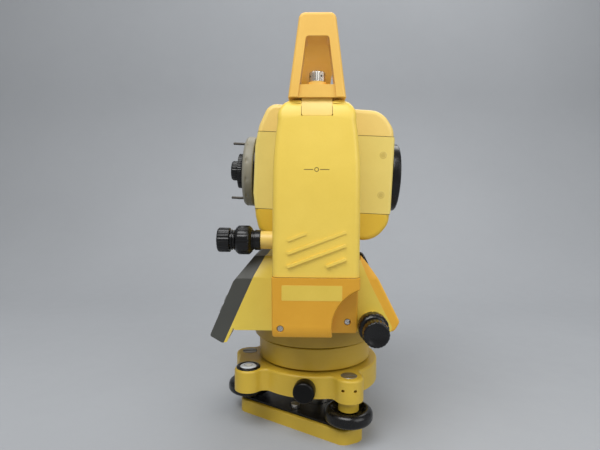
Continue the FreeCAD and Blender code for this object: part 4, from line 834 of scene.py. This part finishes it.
def make_display():
    place = facet_place(DISPLAY_TOP, DISPLAY_KNEE)
    plate("display_pane", (18.4, 71.6, 1.0), place, (13.0, 0, -0.7), "alidade",
          paint["pane_black"], 0.25, stands_for=("display_window",))
    plate("display_panel", (13.0, 60.0, 0.16), place, (13.0, 0, -0.17), "alidade",
          paint["lcd"], 0.05)
    rows = facet_place(DISPLAY_KNEE, KEYS_FOOT)
    for index in range(6):
        row, column = KEY_ROWS[index // 3], KEY_COLUMNS[index % 3]
        number = index + 1
        plate("key_mark_%d" % number, (1.5, 9.0, 0.24), rows, (row, -column, 1.66),
              "key_%d" % number,
              paint["key_red" if number == RED_KEY else "key_mark"], 0.1)


def make_battery():
    """Finger ribs and the catch on the battery's outer face."""
    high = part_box("battery")[1]
    shape = bmesh.new()
    for index in range(7):
        block(shape, (34.0, 0.9, 1.5), Matrix.Translation(
            (0, high.y + 0.25 * MM, high.z - (46.0 + index * 4.0) * MM)))
    piece("battery_grip", to_mesh(shape, "battery_grip"), "battery",
          paint["lower_amber"], round_edges=0.4)
    plate("battery_catch", (22.0, 1.8, 9.0),
          Matrix.Translation((0, high.y - 0.1 * MM, high.z - 16.0 * MM)), (0, 0, 0),
          "battery", paint["grey_plastic"], 0.5)


def make_seams():
    """Dark joint lines round the telescope's shells and under the near cover."""
    direction = TELESCOPE.to_3x3() @ Vector((0, 0, 1))
    for name, height in (("seam_telescope_top", TELESCOPE_JOINTS[1]),
                         ("seam_telescope_bottom", TELESCOPE_JOINTS[0])):
        seam_strip(name, "telescope_body", PIVOT + direction * height * MM, direction,
                   SEAM_WIDTH, "telescope", paint["seam"])
    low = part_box("right_cover")[0].z
    seam_strip("seam_cover", "right_cover", (0, 0, low + SEAM_WIDTH / 2 * MM), (0, 0, 1),
               SEAM_WIDTH, "alidade", paint["seam"])


for name in nodes:
    soften(name)
make_drives()
make_eyepiece()
make_focusing_ring()
make_barrel_sleeve()
make_lock_knob()
make_handle_locks()
make_plummet_ring()
make_objective()
make_cover_screws()
make_foot_caps()
make_circular_level()
make_plate_vial()
make_telescope_plugs()
make_marks()
make_display()
make_battery()
make_seams()


# ------------------------------------------------------- camera, light, floor

LENS, SENSOR = 27.44, 36.0
CAMERA_PLACE = (-0.003885, -0.435147, 0.208257)
CAMERA_AHEAD = (-0.02433, 0.99759, -0.06501)
CAMERA_ROLL = math.radians(0.28)
AIM = (0.0, 0.0, 0.17)
LAMPS = (("key", (-0.35, -0.75, 1.35), (1.1, 0.8), 18.0),
         ("fill", (0.9, -0.8, 0.7), (0.9, 0.9), 6.0),
         ("back", (0.2, 0.7, 1.2), (1.2, 0.6), 7.0))
AMBIENT = 0.35


def make_camera():
    data = bpy.data.cameras.new("camera")
    data.lens = LENS
    data.sensor_width = SENSOR
    data.clip_start = 0.01
    data.clip_end = 20.0
    camera = bpy.data.objects.new("camera", data)
    bpy.context.scene.collection.objects.link(camera)
    forward = Vector(CAMERA_AHEAD).normalized()
    right = forward.cross(Vector((0, 0, 1))).normalized()
    up = right.cross(forward)
    level_right = right * math.cos(CAMERA_ROLL) + up * math.sin(CAMERA_ROLL)
    level_up = level_right.cross(forward)
    matrix = Matrix((level_right, level_up, -forward)).transposed().to_4x4()
    matrix.translation = Vector(CAMERA_PLACE)
    camera.matrix_world = matrix
    bpy.context.scene.camera = camera


def make_floor():
    """A floor that curves up into a backdrop behind the object."""
    depth_front, depth_back, radius, height, half, steps = -1.6, 0.9, 0.5, 2.2, 2.4, 16
    start = depth_back - radius
    profile = [(depth_front, 0.0), (start, 0.0)]
    for step in range(1, steps + 1):
        turn = math.pi / 2 * step / steps
        profile.append((start + radius * math.sin(turn), radius * (1 - math.cos(turn))))
    profile.append((depth_back, height))
    mesh = bpy.data.meshes.new("floor")
    shape = bmesh.new()
    rows = [[shape.verts.new((x, y, z)) for y, z in profile] for x in (-half, half)]
    for left, right in zip(zip(rows[0], rows[0][1:]), zip(rows[1], rows[1][1:])):
        shape.faces.new((left[0], right[0], right[1], left[1])).smooth = True
    shape.to_mesh(mesh)
    shape.free()
    floor = bpy.data.objects.new("floor", mesh)
    bpy.context.scene.collection.objects.link(floor)
    grey = (158, 161, 165)
    mesh.materials.append(finish_material("backdrop", grey, (164, 167, 171), (150, 153, 157), grey,
                                          0.8, wear_amount=0.0, patch=1.5, bump=0.0))


def area_light(name, place, size, power):
    data = bpy.data.lights.new(name, "AREA")
    data.shape = "RECTANGLE"
    data.size, data.size_y = size
    data.energy = power
    lamp = bpy.data.objects.new(name, data)
    bpy.context.scene.collection.objects.link(lamp)
    lamp.location = place
    lamp.rotation_euler = (Vector(AIM) - Vector(place)).to_track_quat("-Z", "Y").to_euler()


def make_light():
    world = bpy.data.worlds.new("studio")
    world.use_nodes = True
    background = world.node_tree.nodes["Background"]
    background.inputs["Color"].default_value = (1.0, 1.0, 1.0, 1.0)
    background.inputs["Strength"].default_value = AMBIENT
    bpy.context.scene.world = world
    for lamp in LAMPS:
        area_light(*lamp)


make_camera()
make_floor()
make_light()
bpy.context.scene.view_settings.view_transform = "Standard"
